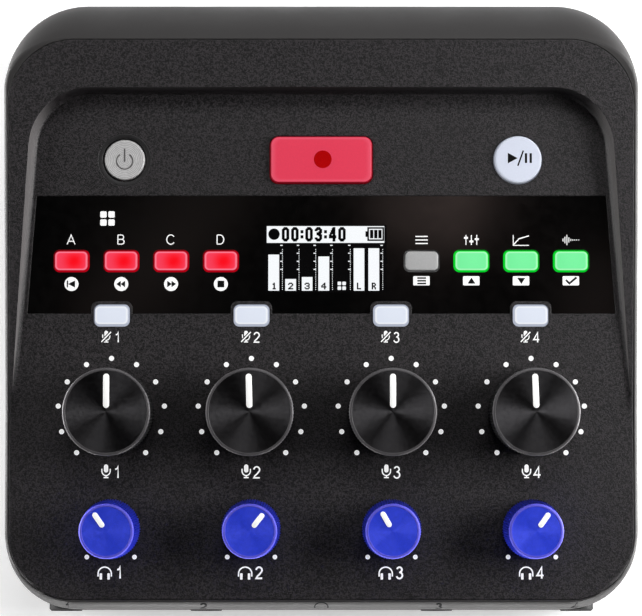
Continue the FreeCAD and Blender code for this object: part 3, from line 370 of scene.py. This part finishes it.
def stack(bm, rings, finishes=None, hollow=False):
    """Closed shell through rings of (points, height, mark); finishes are indices, one for each ring.

    A hollow shell joins its last ring to the first, others are closed over their first and last rings.
    """
    mark = bm.verts.layers.float.get("mark") or bm.verts.layers.float.new("mark")
    rows = []
    for ring in rings:
        row = [bm.verts.new((x * MM, y * MM, ring[1] * MM)) for x, y in ring[0]]
        for vert in row:
            vert[mark] = ring[2] if len(ring) > 2 else SIDE_MARK
        rows.append(row)
    if hollow:
        rows.append(rows[0])
    for level, (low, high) in enumerate(zip(rows, rows[1:])):
        index = finishes[level + 1] if finishes else 0
        for i in range(len(low)):
            k = (i + 1) % len(low)
            face = bm.faces.new((low[i], low[k], high[k], high[i]))
            face.material_index = index
            face.smooth = True
    if hollow:
        return
    for row, ring, end in ((rows[0], rings[0], 0), (rows[-1], rings[-1], -1)):
        middle = bm.verts.new((sum(p[0] for p in ring[0]) / len(row) * MM,
                               sum(p[1] for p in ring[0]) / len(row) * MM, ring[1] * MM))
        middle[mark] = ring[2] if len(ring) > 2 else SIDE_MARK
        for i in range(len(row)):
            k = (i + 1) % len(row)
            corners = (row[k], row[i], middle) if end == 0 else (row[i], row[k], middle)
            face = bm.faces.new(corners)
            face.material_index = finishes[end] if finishes else 0
            face.smooth = True


def piece(name, bm, looks, where, body, replaces=(), sharp=38):
    """Makes the piece, puts it in its place and lets it ride on its body.

    Edges that turn by more than sharp, in degrees, are shown as edges.
    """
    bmesh.ops.recalc_face_normals(bm, faces=bm.faces)
    mesh = bpy.data.meshes.new(name)
    bm.to_mesh(mesh)
    bm.free()
    mesh.set_sharp_from_angle(angle=math.radians(sharp))
    for look in looks:
        mesh.materials.append(LOOK[look])
    made = show(name, mesh)
    made.matrix_world = where
    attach(made, body)
    if replaces:
        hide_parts(*replaces)


# Keys

FLANGE_SPREAD = 1.0
FLANGE_TOP = -COVER_THICK - 0.1
FLANGE_LOW = FLANGE_TOP - 0.8
STEM_RADIUS = 1.6
STEM_END = -4.8
SMALL_RISE, RECORD_RISE, PLAY_RISE, POWER_RISE = 0.8, 1.1, 0.9, 0.2


def key(node, x, v, shape, rise, look, edge, crown=0.12):
    """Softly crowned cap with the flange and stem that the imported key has; a crown below 0 is a dish.

    shape gives the outline for some growth. The mark runs from 0 in the middle of the cap's top to
    1 where its rounded edge starts and to EDGE_MARK where that edge ends.
    """
    bm = bmesh.new()
    rings = [(shape(FLANGE_SPREAD), FLANGE_LOW), (shape(FLANGE_SPREAD), FLANGE_TOP),
             (shape(0), FLANGE_TOP), (shape(0), rise - edge, EDGE_MARK)]
    for degrees in (15, 30, 45, 60, 75, 90):
        a = math.radians(degrees)
        rings.append((shape(-edge * (1 - math.cos(a))), rise - edge + edge * math.sin(a),
                      EDGE_MARK - (EDGE_MARK - 1) * degrees / 90))
    inner = shape(-edge)
    for share in (0.95, 0.88, 0.76, 0.6, 0.42, 0.22, 0.08):
        rings.append((scaled(inner, share), rise + crown * (1 - share ** 2), share))
    stack(bm, rings)
    stack(bm, [(circle(STEM_RADIUS, 32), STEM_END), (circle(STEM_RADIUS, 32), FLANGE_LOW + 0.1)])
    piece(node + "_cap", bm, [look], place(x, v), node, (node,))


def small_key(node, x, v, look, slot, width, depth):
    key(node, x, v, lambda grow: outline(width, depth, 1.2, grow), SMALL_RISE, look, edge=0.42)


# Look, slot, width and depth of the small keys
RED_KEY = ("red", "pad_lit_red", 8.1, 4.8)
GREY_KEY = ("grey", "key_grey", 7.9, 4.6)
GREEN_KEY = ("green", "key_lit_green", 8.1, 4.8)
WHITE_KEY = ("white", "key_lit_white", 8.1, 4.6)
PAD_KEYS = (("pad_a", RED_KEY), ("pad_b", RED_KEY), ("pad_c", RED_KEY), ("pad_d", RED_KEY),
            ("menu_key", GREY_KEY), ("up_key", GREEN_KEY), ("down_key", GREEN_KEY),
            ("enter_key", GREEN_KEY))
for (name, kind), x in zip(PAD_KEYS, PAD_PLACES):
    small_key(name, x, PAD_ROW, *kind)
for number, x in enumerate(CHANNELS, start=1):
    small_key(f"mute_key_{number}", x, MUTE_ROW, *WHITE_KEY)
key("record_key", 0, TRANSPORT_ROW, lambda grow: outline(24.5, 11.2, 2.0, grow), RECORD_RISE,
    "record", edge=0.5, crown=0.15)
key("play_key", ROUND_KEY_X, TRANSPORT_ROW, lambda grow: circle(5.7 + grow, 64), PLAY_RISE,
    "play", edge=0.5, crown=0.1)
key("power_key", -ROUND_KEY_X, TRANSPORT_ROW, lambda grow: circle(4.85 + grow, 64), POWER_RISE,
    "power", edge=0.35, crown=-0.08)

# Bezel ring round the power key, in the dish of the cover: radius and height round its section
RING_SECTION = ((5.3, -0.74), (6.36, -0.06), (6.3, -0.03), (6.18, -0.02), (5.5, -0.08), (5.37, -0.14),
                (5.3, -0.24))
bm = bmesh.new()
stack(bm, [(circle(radius), height) for radius, height in RING_SECTION], hollow=True)
piece("power_ring", bm, ["ring"], place(-ROUND_KEY_X, TRANSPORT_ROW), "case")


# Knobs

KNOB_FOOT, KNOB_WALL = 0.6, 1.4
HUB_RADIUS, BORE_RADIUS = 4.4, 3.05
RIM_ROUND = 0.5
FACE_SINK, FACE_DISH = 0.1, 0.12


def knob(node, x, v, turn, radius, height, taper, ridges, looks, slot, pointer, crest):
    """Ridged skirt, turned rim and spun cap on a hollow body with its hub, and a white pointer.

    looks are those of the skirt, the rim and the cap; pointer is (start, end, width) of the white
    line, and crest is the rim's outer radius.
    """
    count = ridges * 4
    low = KNOB_FOOT
    inner = radius - taper - 0.3 - KNOB_WALL
    ceiling = height - 2 * KNOB_WALL
    shoulder = height - RIM_ROUND
    face_edge = crest - 1.05 * RIM_ROUND

    def skirt(level, trim=0.0, depth=0.26):
        here = radius - taper * (level - low) / (height - low) - trim
        return ridged(here, ridges, depth, count)

    rings = [
        # Bore, hub and the hollow round it
        (circle(BORE_RADIUS, count), height - KNOB_WALL - 1.0), (circle(BORE_RADIUS, count), low),
        (circle(HUB_RADIUS, count), low), (circle(HUB_RADIUS, count), ceiling),
        (circle(inner, count), ceiling), (circle(inner, count), low),
        # Ridged skirt, with rounded ends to its ridges
        (skirt(low, 0.25, 0.1), low), (skirt(low + 0.25), low + 0.25),
        (skirt(shoulder - 0.35), shoulder - 0.35), (skirt(shoulder - 0.1, 0.08, 0.16), shoulder - 0.1),
        # Step to the rim
        (circle(crest - 0.04, count), shoulder - 0.04), (circle(crest, count), shoulder + 0.08),
    ]
    finishes = [0] * len(rings)
    for degrees in (0, 18, 36, 54, 72, 90):
        a = math.radians(degrees)
        rings.append((circle(crest - (crest - face_edge) * (1 - math.cos(a)), count),
                      shoulder + 0.14 + (RIM_ROUND - 0.14) * math.sin(a)))
        finishes.append(1 if degrees else 0)
    face = height - FACE_SINK
    rings += [(circle(face_edge - 0.12, count), height), (circle(face_edge - 0.2, count), face),
              (circle(face_edge - 0.3, count), face)]
    finishes += [1, 1, 2]
    for share in (0.86, 0.72, 0.58, 0.44, 0.3, 0.16, 0.05):
        rings.append((circle(face_edge * share, count), face - FACE_DISH * (1 - share ** 2)))
        finishes.append(2)
    bm = bmesh.new()
    stack(bm, rings, finishes)
    where = place(x, v, 0, turn)
    piece(node + "_body", bm, looks, where, node, (node,), sharp=50)
    start, end, width = pointer

    def pill(grow):
        return [(px, py + (start + end) / 2) for px, py in outline(width, end - start, width / 2, grow, 6)]

    bm = bmesh.new()
    stack(bm, [(pill(0), height - 0.5), (pill(0), height - 0.07), (pill(-0.08), height - 0.02)])
    piece(node + "_pointer", bm, ["pointer"], where, node)


MIC_KNOB = dict(radius=10.4, height=13.0, taper=0.3, ridges=84, crest=10.34,
                looks=["knob", "knob_rim", "knob_cap"], slot="knob_black", pointer=(0.9, 8.95, 1.42))
HEADPHONE_KNOB = dict(radius=7.2, height=11.4, taper=0.75, ridges=72, crest=6.47,
                      looks=["blue", "blue_rim", "blue_cap"], slot="knob_blue", pointer=(1.2, 5.25, 1.25))
MIC_TURNS = (0.0, -1.5, 0.0, -2.0)
HEADPHONE_TURNS = (-35.0, 38.0, -30.0, 35.5)
for number, (x, mic_turn, phone_turn) in enumerate(zip(CHANNELS, MIC_TURNS, HEADPHONE_TURNS), start=1):
    knob(f"mic_knob_{number}", x, 0, mic_turn, **MIC_KNOB)
    knob(f"headphone_knob_{number}", x, HEADPHONE_ROW, phone_turn, **HEADPHONE_KNOB)


# Prints: strokes and filled shapes, a few hundredths of a millimetre thick

def arc(cx, cy, rx, ry, start, end, steps=12):
    """Points of a part of an ellipse, between two angles in degrees."""
    angles = [math.radians(start + (end - start) * i / steps) for i in range(steps + 1)]
    return [(cx + rx * math.cos(a), cy + ry * math.sin(a)) for a in angles]


class Print:
    """Flat shapes of one colour, gathered into one thin raised piece."""

    def __init__(self):
        self.bm = bmesh.new()
        self.at(0, 0)

    def at(self, x, v, size=1.0):
        """Moves and scales the shapes that follow."""
        self.x, self.v, self.size = x, v, size
        return self

    def vert(self, x, y):
        return self.bm.verts.new(((self.x + x * self.size) * MM, (self.v + y * self.size) * MM, 0))

    def fill(self, points):
        self.bm.faces.new([self.vert(x, y) for x, y in points])
        return self

    def stroke(self, points, width, closed=False):
        """Line of even width with mitred corners."""
        half = width / 2 / self.size
        count = len(points)
        rows = []
        for i, (x, y) in enumerate(points):
            before = points[i - 1] if closed or i else (2 * x - points[1][0], 2 * y - points[1][1])
            after = points[(i + 1) % count] if closed or i < count - 1 else (
                2 * x - points[-2][0], 2 * y - points[-2][1])
            a = Vector((x - before[0], y - before[1])).normalized()
            b = Vector((after[0] - x, after[1] - y)).normalized()
            across = Vector((-a.y - b.y, a.x + b.x)).normalized()
            long = half / max(across.dot(Vector((-a.y, a.x))), 0.45)
            rows.append((self.vert(x + across.x * long, y + across.y * long),
                         self.vert(x - across.x * long, y - across.y * long)))
        for i in range(count if closed else count - 1):
            (a, b), (c, d) = rows[i], rows[(i + 1) % count]
            self.bm.faces.new((a, b, d, c))
        return self

    def dot(self, x, y, radius, count=24):
        return self.fill([(x + px, y + py) for px, py in circle(radius, count)])

    def block(self, x0, y0, x1, y1, corner=0.0):
        if corner:
            shape = outline(x1 - x0, y1 - y0, corner, 0, 4)
            return self.fill([((x0 + x1) / 2 + px, (y0 + y1) / 2 + py) for px, py in shape])
        return self.fill([(x0, y0), (x1, y0), (x1, y1), (x0, y1)])

    def glyph(self, text, x, v, height, width=0.36):
        """Plain numerals and letters, centred on a spot."""
        lines, wide = GLYPHS[text]
        self.at(x - wide * height / 2, v - height / 2, height)
        for line in lines:
            self.stroke(line, width)
        return self.at(0, 0)

    def dots_matrix(self, text, x, v, step_x, step_v, letters, swell, space=0.0):
        """Numerals and letters of display dots, with their lower left corner on a spot.

        swell widens the runs of dots on all sides, and space is left between the letters.
        """
        for letter in text:
            rows = letters[letter]
            for down, row in enumerate(rows):
                run = 0
                for k, bit in enumerate(row + " "):
                    if bit == "#":
                        run += 1
                    elif run:
                        top = v + (len(rows) - down) * step_v
                        self.block(x + (k - run) * step_x - swell, top - step_v - swell,
                                   x + k * step_x + swell, top + swell)
                        run = 0
            x += len(rows[0]) * step_x + space
        return self

    def raised(self):
        """Gives the shapes a second side, and returns the corners of that side."""
        grown = bmesh.ops.extrude_face_region(self.bm, geom=list(self.bm.faces))["geom"]
        return {g for g in grown if isinstance(g, bmesh.types.BMVert)}

    def made(self, name, look, where=PANEL, body="case", lift=0.0, thick=PRINT_THICK, slot=None):
        """Gives the shapes their thickness and turns them into a piece."""
        for vert in self.raised():
            vert.co.z += thick * MM
        piece(name, self.bm, [look], where @ Matrix.Translation((0, 0, lift * MM)), body)


# Strokes of plain letters and numerals, for a height of 1, and their widths
GLYPHS = {
    "1": ([[(0.08, 0.76), (0.2, 0.79), (0.29, 0.87), (0.33, 1.0), (0.33, 0.0)]], 0.42),
    "2": ([arc(0.27, 0.72, 0.25, 0.26, 175, -30, 14)
           + [(0.3, 0.36), (0.1, 0.17), (0.03, 0.02), (0.54, 0.02)]], 0.56),
    "3": ([arc(0.25, 0.76, 0.21, 0.22, 165, -80, 12), arc(0.25, 0.27, 0.25, 0.27, 95, -165, 14)], 0.54),
    "4": ([[(0.42, 0.0), (0.42, 0.97), (0.02, 0.27), (0.58, 0.27)]], 0.58),
    "A": ([[(0.0, 0.0), (0.41, 0.98), (0.82, 0.0)], [(0.14, 0.32), (0.68, 0.32)]], 0.82),
    "B": ([[(0.06, 0.0), (0.06, 0.98)],
           [(0.06, 0.98)] + arc(0.44, 0.75, 0.22, 0.23, 90, -90) + [(0.06, 0.52)],
           [(0.06, 0.52)] + arc(0.46, 0.27, 0.25, 0.25, 90, -90) + [(0.06, 0.02)]], 0.74),
    "C": ([arc(0.44, 0.5, 0.42, 0.49, 38, 322, 24)], 0.84),
    "D": ([[(0.06, 0.0), (0.06, 0.98)],
           [(0.06, 0.98)] + arc(0.34, 0.5, 0.42, 0.48, 90, -90, 16) + [(0.06, 0.02)]], 0.8),
}
# Display dots, row by row: small ones for the bars and bold ones for the time
DOTS = {
    "1": ("  # ", " ## ", "  # ", "  # ", "  # ", "  # ", " ###"),
    "2": (" ### ", "#   #", "    #", "   # ", "  #  ", " #   ", "#####"),
    "3": (" ### ", "#   #", "    #", "  ## ", "    #", "#   #", " ### "),
    "4": ("   # ", "  ## ", " # # ", "#  # ", "#####", "   # ", "   # "),
    "L": ("#   ", "#   ", "#   ", "#   ", "#   ", "#   ", "####"),
    "R": ("### ", "#  #", "#  #", "### ", "# # ", "#  #", "#  #"),
}
BOLD = {
    "0": ("  ###  ", " ##### ") + ("##   ##",) * 9 + (" ##### ", "  ###  "),
    "3": ("  ###  ", " ##### ", "##   ##", "     ##", "    ###", "  #### ", "  #### ", "    ###",
          "     ##", "     ##", "##   ##", " ##### ", "  ###  "),
    "4": ("    ## ", "   ### ", "   ### ", "  #### ", "  # ## ", " ## ## ", " #  ## ", "##  ## ",
          "#######", "#######", "    ## ", "    ## ", "    ## "),
    ":": ("  ",) * 3 + ("##",) * 2 + ("  ",) * 3 + ("##",) * 2 + ("  ",) * 3,
}


def microphone(ink, x, v, size):
    ink.at(x, v, size)
    ink.block(-0.54, -0.1, 0.54, 1.95, 0.53)
    ink.stroke([(-1.05, 0.85)] + arc(0, 0.3, 1.05, 1.15, 180, 360, 16) + [(1.05, 0.85)], 0.3 * size)
    ink.stroke([(0, -0.85), (0, -1.3)], 0.32 * size)
    ink.stroke([(-0.62, -1.36), (0.62, -1.36)], 0.32 * size)
    ink.at(0, 0)


def headphones(ink, x, v):
    ink.at(x, v)
    ink.stroke([(-1.58, -0.7)] + arc(0, 0.0, 1.58, 1.55, 180, 0, 20) + [(1.58, -0.7)], 0.33)
    for side in (-1, 1):
        ink.block(side * 0.93 - 0.3, -1.42, side * 0.93 + 0.3, 0.07, 0.12)
    ink.at(0, 0)


def four_squares(ink, x, v, size, gap):
    """Sign of the four pads."""
    for sx in (-1, 1):
        for sy in (-1, 1):
            cx, cy = x + sx * (size + gap) / 2, v + sy * (size + gap) / 2
            ink.block(cx - size / 2, cy - size / 2, cx + size / 2, cy + size / 2, size * 0.2)


# Prints on the textured panel: rings of dots round the knobs, signs and numbers in front of them,
# and struck signs in front of the mute keys
SWEEP = 139.8
MIC_DOTS, HEADPHONE_DOTS = 12.83, 8.84
SIGN_HEIGHT, MUTE_SIGN_HEIGHT = 2.75, 2.4
MUTE_SIGN_V = 17.9
GAP_THICK = 0.01
ink = Print()
for number, x in enumerate(CHANNELS, start=1):
    for k in range(11):
        a = math.radians(SWEEP / 5 * k - SWEEP)
        ink.dot(x + MIC_DOTS * math.sin(a), MIC_DOTS * math.cos(a), 0.62)
    for side in (-1, 1):
        a = math.radians(side * SWEEP)
        ink.dot(x + HEADPHONE_DOTS * math.sin(a), HEADPHONE_ROW + HEADPHONE_DOTS * math.cos(a), 0.56)
    microphone(ink, x - 1.2, -14.47, 0.95)
    ink.glyph(str(number), x + 1.35, -14.5, SIGN_HEIGHT)
    headphones(ink, x - 1.4, -38.7)
    ink.glyph(str(number), x + 1.95, -38.5, SIGN_HEIGHT, 0.42)
    microphone(ink, x - 1.3, MUTE_SIGN_V, 0.82)
    ink.glyph(str(number), x + 1.3, MUTE_SIGN_V, MUTE_SIGN_HEIGHT, 0.32)
ink.made("panel_print", "ink", slot="key_lit_white")
gap, slash = Print(), Print()
for x in CHANNELS:
    gap.at(x - 1.3, MUTE_SIGN_V + 0.1).stroke([(-0.85, -0.9), (0.85, 0.9)], 0.8)
    slash.at(x - 1.3, MUTE_SIGN_V + 0.1).stroke([(-1.15, -1.2), (1.15, 1.2)], 0.3)
gap.made("mute_sign_gap", "cover_ink", lift=PRINT_THICK, thick=GAP_THICK)
slash.made("mute_sign_slash", "ink", lift=PRINT_THICK + GAP_THICK, thick=0.02, slot="key_lit_white")

# Prints on the window: letters and signs behind the keys, dots and boxes in front of them
DOT_V, BOX_V, SIGN_V = 30.76, 31.54, 41.4
ink = Print()
for letter, x in zip("ABCD", PAD_PLACES):
    ink.glyph(letter, x - 0.15, 41.5, 2.3, 0.25)
for x in PAD_PLACES[:4]:
    ink.dot(x, DOT_V, 1.7, 40)
for x in PAD_PLACES[4:]:
    ink.block(x - 2.05, BOX_V - 1.12, x + 1.93, BOX_V + 1.12, 0.25)
four_squares(ink, -51.6, 46.6, 1.55, 0.4)
menu, tone, press, hush = PAD_PLACES[4:]
ink.at(menu, SIGN_V)
for k in (-1, 0, 1):
    ink.stroke([(-1.5, 0.85 * k), (1.5, 0.85 * k)], 0.27)
for k, lift in ((-1, 0.45), (0, -0.4), (1, 0.15)):
    ink.at(tone + 1.3 * k, SIGN_V)
    ink.stroke([(0, -1.2), (0, 1.2)], 0.24)
    ink.block(-0.5, lift - 0.2, 0.5, lift + 0.3, 0.15)
ink.at(press, SIGN_V)
ink.stroke([(-1.9, -1.2), (-0.5, 0.3), (1.9, 1.0)], 0.27)
ink.stroke([(-1.9, 1.2), (-1.9, -1.3), (1.9, -1.3)], 0.2)
ink.at(hush, SIGN_V)
for k, tall in enumerate((0.35, 0.8, 1.25, 0.6, 0.25, 0.18, 0.14, 0.12, 0.1)):
    ink.stroke([(-1.9 + 0.475 * k, -tall), (-1.9 + 0.475 * k, tall)], 0.2)
ink.made("window_print", "ink", slot="key_lit_white")

# Dark signs on the white dots and boxes
signs = Print()
first, back, onward, stop = PAD_PLACES[:4]
signs.at(first, DOT_V).block(-1.12, -0.82, -0.82, 0.82).fill([(-0.82, 0), (0.85, -0.84), (0.85, 0.84)])
for x, way in ((back, -1), (onward, 1)):
    for start in (-0.92, 0.12):
        signs.at(x, DOT_V).fill([(way * (start + 1.06), 0), (way * start, -0.78), (way * start, 0.78)])
signs.at(stop, DOT_V).block(-0.8, -0.8, 0.8, 0.8)
signs.at(menu, BOX_V)
for k in (-1, 0, 1):
    signs.stroke([(-1.05, 0.66 * k), (1.05, 0.66 * k)], 0.38)
signs.at(tone, BOX_V).fill([(-0.95, -0.68), (0.95, -0.68), (0, 0.76)])
signs.at(press, BOX_V).fill([(-0.95, 0.69), (0.95, 0.69), (0, -0.75)])
signs.at(hush, BOX_V).stroke([(-1.25, 0.18), (-0.4, -0.64), (1.3, 0.8)], 0.46)
signs.made("window_signs", "dark_ink", lift=PRINT_THICK, thick=0.02)

# Display: a dark field, white areas and dark marks on them
LAYER = 0.012
BARS = ((-12.85, -10.07, 37.87), (-8.77, -6.0, 31.97), (-4.77, -2.05, 32.45), (-0.79, 2.0, 37.41),
        (7.72, 10.46, 39.39), (11.27, 14.05, 39.39))
SCALES_X = (-9.45, -5.45, -1.42, 2.61, 6.92, 14.73)
SCALE_MARKS_V = (40.1, 38.2, 36.25, 34.3)
DOT_X, DOT_Y = 0.23, 0.22
field = Print().block(-13.75, 28.75, 15.75, 45.05, 0.3)
field.made("display_field", "screen_dark", thick=LAYER, slot="display_glass")
lit = Print().block(-13.15, 40.7, 15.2, 44.75)
for left, right, top in BARS:
    lit.block(left + 0.08, 29.15, right - 0.08, top)
four_squares(lit, 4.93, 30.33, 0.86, 0.28)
for x in SCALES_X:
    for v in SCALE_MARKS_V:
        lit.block(x - 0.45, v - 0.12, x + 0.12, v + 0.12)
    for k in range(22):
        lit.block(x, 29.35 + 0.46 * k, x + 0.16, 29.55 + 0.46 * k)
lit.made("display_lit", "screen", lift=LAYER, thick=LAYER, slot="key_lit_white")
marks = Print().dot(-11.4, 42.8, 1.38, 32)
marks.dots_matrix("00:03:40", -9.4, 41.15, 0.22, 0.25, BOLD, swell=0.13, space=0.72)
marks.stroke([(11.3, 41.35), (14.95, 41.35), (14.95, 44.3), (11.3, 44.3)], 0.4, closed=True)
marks.block(10.65, 42.15, 11.2, 43.5)
for k in range(3):
    marks.block(11.75 + k, 41.8, 12.55 + k, 43.85)
for (left, right, _), letter in zip(BARS, "1234LR"):
    wide = len(DOTS[letter][0]) * DOT_X
    marks.dots_matrix(letter, (left + right - wide) / 2, 29.5, DOT_X, DOT_Y, DOTS, swell=0.06)
marks.made("display_marks", "screen_dark", lift=2 * LAYER, thick=0.008)

# Signs on the three keys behind the window, at the height that the crown or dish of each cap leaves
sign = Print().dot(0.35, 0, 2.15, 48)
sign.made("record_sign", "red_ink", place(0, TRANSPORT_ROW, RECORD_RISE + 0.14), "record_key", thick=0.025)
sign = Print().stroke(arc(0, -0.3, 1.95, 1.95, 126, 414, 28), 0.3).stroke([(0, -0.5), (0, 2.75)], 0.3)
sign.made("power_sign", "grey_ink", place(-ROUND_KEY_X, TRANSPORT_ROW, POWER_RISE - 0.03), "power_key")
sign = Print().fill([(-2.5, -0.95), (-2.5, 1.6), (-0.15, 0.32)])
sign.stroke([(-0.1, -1.55), (1.25, 2.15)], 0.36)
sign.block(1.6, -0.85, 2.15, 1.5).block(2.75, -0.85, 3.3, 1.5)
sign.made("play_sign", "dark_ink", place(ROUND_KEY_X, TRANSPORT_ROW, PLAY_RISE + 0.07), "play_key")

# Numbers and sign of the front sockets, laid on the rounded front edge of the case
FRONT_SIGNS_X = (-60.9, -28.2, 28.2, 60.9)
EDGE_Y, EDGE_Z, EDGE_LEAN = -72.5, 25.8, 24
upward = Vector((0, math.sin(math.radians(EDGE_LEAN)), math.cos(math.radians(EDGE_LEAN))))
signs = Print()
for sign, x in zip("1234", FRONT_SIGNS_X):
    signs.glyph(sign, x, 0, 2.4, 0.55)
headphones(signs, 0, 0)
bmesh.ops.subdivide_edges(signs.bm, edges=signs.bm.edges[:], cuts=2, use_grid_fill=True)
outer = signs.raised()
shell = frame["nodes"]["main_case"].data
tree = BVHTree.FromPolygons([v.co for v in shell.vertices], [f.vertices for f in shell.polygons])
for vert in signs.bm.verts:
    start = Vector((vert.co.x, EDGE_Y * MM, EDGE_Z * MM)) + upward * vert.co.y
    spot, normal, _, _ = tree.find_nearest(start)
    vert.co = spot + normal * (0.012 if vert in outer else -0.02) * MM
piece("front_signs", signs.bm, ["dark_ink"], Matrix.Identity(4), "case")


# Metal in the three contact holes of each mic socket, drawn upright and laid towards the back
CONTACT_CIRCLE = 4.1
CONTACT_OUTER, CONTACT_INNER = 1.27, 0.95
CONTACT_START, CONTACT_END = 0.4, 11.0
low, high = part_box("xlr_inserts")
insert_z = (low.z + high.z) / 2 / MM
mouth_y = high.y / MM
bm = bmesh.new()
for x in CHANNELS:
    for degrees in (30, 150, 270):
        a = math.radians(degrees)
        cx, cz = x + CONTACT_CIRCLE * math.cos(a), insert_z + CONTACT_CIRCLE * math.sin(a)
        wide, narrow = ([(cx + px, cz + pz) for px, pz in circle(radius, 24)]
                        for radius in (CONTACT_OUTER, CONTACT_INNER))
        stack(bm, [(narrow, CONTACT_END - mouth_y), (wide, CONTACT_END - mouth_y),
                   (wide, CONTACT_START - mouth_y), (narrow, CONTACT_START - mouth_y)])
lay = Matrix.Rotation(math.radians(90), 4, "X")
piece("mic_socket_contacts", bm, ["gold"], lay, "case")


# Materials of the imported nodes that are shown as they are
KEPT = {
    "cover": ["top_cover"], "case": ["main_case", "bottom_cover", "battery_door"], "gloss": ["window_lens"],
    "glass": ["display_panel"], "plain": ["display_holder"], "rubber": ["rubber_feet"],
    "switch": ["tact_switches"], "board": ["control_board", "main_board", "socket_board"],
    "steel": ["board_screws", "mic_pots", "headphone_pots", "usb_socket", "card_socket"]
             + [f"{kind}_{number}" for kind in ("xlr_latch", "mic_shaft", "headphone_shaft")
                for number in (1, 2, 3, 4)],
    "screw": ["case_screws"], "shell": ["xlr_shells", "xlr_inserts", "headphone_jacks", "side_jacks"],
    "nickel": ["battery_contacts"],
}
for look, nodes in KEPT.items():
    for node in nodes:
        mesh = frame["nodes"][node].data
        mesh.materials.clear()
        mesh.materials.append(LOOK[look])


# Floor, light and camera

FLOOR_REACH = 4
CARD_HEIGHT = 1.1
mesh = bpy.data.meshes.new("floor")
mesh.from_pydata([(FLOOR_REACH * x, FLOOR_REACH * y, 0) for x, y in ((-1, -1), (1, -1), (1, 1), (-1, 1))],
                 [], [(0, 1, 2, 3)])
mesh.materials.append(finish("floor_pale", (246, 246, 246), 0.8, specular=0.1, mottle=0.005, grain=3.0,
                             depth=0.002, broad=300, glow=0.35))
floor = show("floor", mesh)


def lamp(name, where, rotation, size, power, colour):
    """Rectangular lamp that the camera doesn't see."""
    light = bpy.data.lights.new(name, "AREA")
    light.shape = "RECTANGLE"
    light.size, light.size_y = size
    light.energy = power
    light.color = colour
    made = show(name, light)
    made.location = where
    made.rotation_euler = rotation
    made.visible_camera = False


def softbox(name, where, size, power, aim=(0.0, 0.0, 0.02)):
    """White lamp that faces a spot on the object."""
    facing = (Vector(aim) - Vector(where)).to_track_quat("-Z", "Y").to_euler()
    lamp(name, where, facing, size, power, (1, 1, 1))


def card(name, spot, size, turn, colour, power):
    """Dim card high above the object, seen only as a soft patch in the gloss of the window."""
    lamp(name, (*spot, CARD_HEIGHT), (0, 0, math.radians(turn)), size, power, colour)


softbox("left_strip", (-0.70, 0.03, 0.085), (0.36, 0.13), 2.4)
softbox("right_strip", (0.70, 0.03, 0.085), (0.36, 0.13), 2.4)
softbox("left_low_strip", (-0.30, 0.0, 0.008), (0.3, 0.012), 1.35, aim=(-0.07, 0.0, 0.02))
softbox("right_low_strip", (0.30, 0.0, 0.008), (0.3, 0.012), 1.5, aim=(0.07, 0.0, 0.02))
softbox("left_softbox", (-0.40, 0.03, 0.27), (0.3, 0.2), 0.6)
softbox("right_softbox", (0.40, 0.03, 0.27), (0.3, 0.2), 2.3)
softbox("rear_softbox", (0.0, 0.75, 0.17), (0.9, 0.15), 1.5)
softbox("high_softbox", (0.1, 0.5, 0.8), (0.5, 0.3), 2.6)
softbox("front_strip", (0.0, -0.22, 0.005), (0.5, 0.008), 0.9, aim=(0.0, -0.07, 0.02))
card("dim_card_left", (-0.117, -0.021), (0.05, 0.16), -40, (1.0, 0.76, 0.7), 0.0065)
card("dim_card_right", (0.086, 0.028), (0.07, 0.08), -18, (1.0, 0.74, 0.68), 0.0190)
card("dim_card_corner", (0.200, -0.055), (0.045, 0.07), -10, (1.0, 0.76, 0.7), 0.0025)

world = bpy.data.worlds.new("room")
world.use_nodes = True
background = world.node_tree.nodes["Background"]
background.inputs["Color"].default_value = (0.9, 0.92, 0.95, 1)
background.inputs["Strength"].default_value = 0.015
bpy.context.scene.world = world

lens = bpy.data.cameras.new("camera")
lens.lens = 121.2
lens.sensor_width = 36
lens.clip_start = 0.05
camera = show("camera", lens)
camera.location = (-0.00007, -0.08066, 0.54885)
camera.rotation_euler = (math.radians(8.75), 0, 0)
bpy.context.scene.camera = camera
bpy.context.scene.view_settings.view_transform = "Standard"
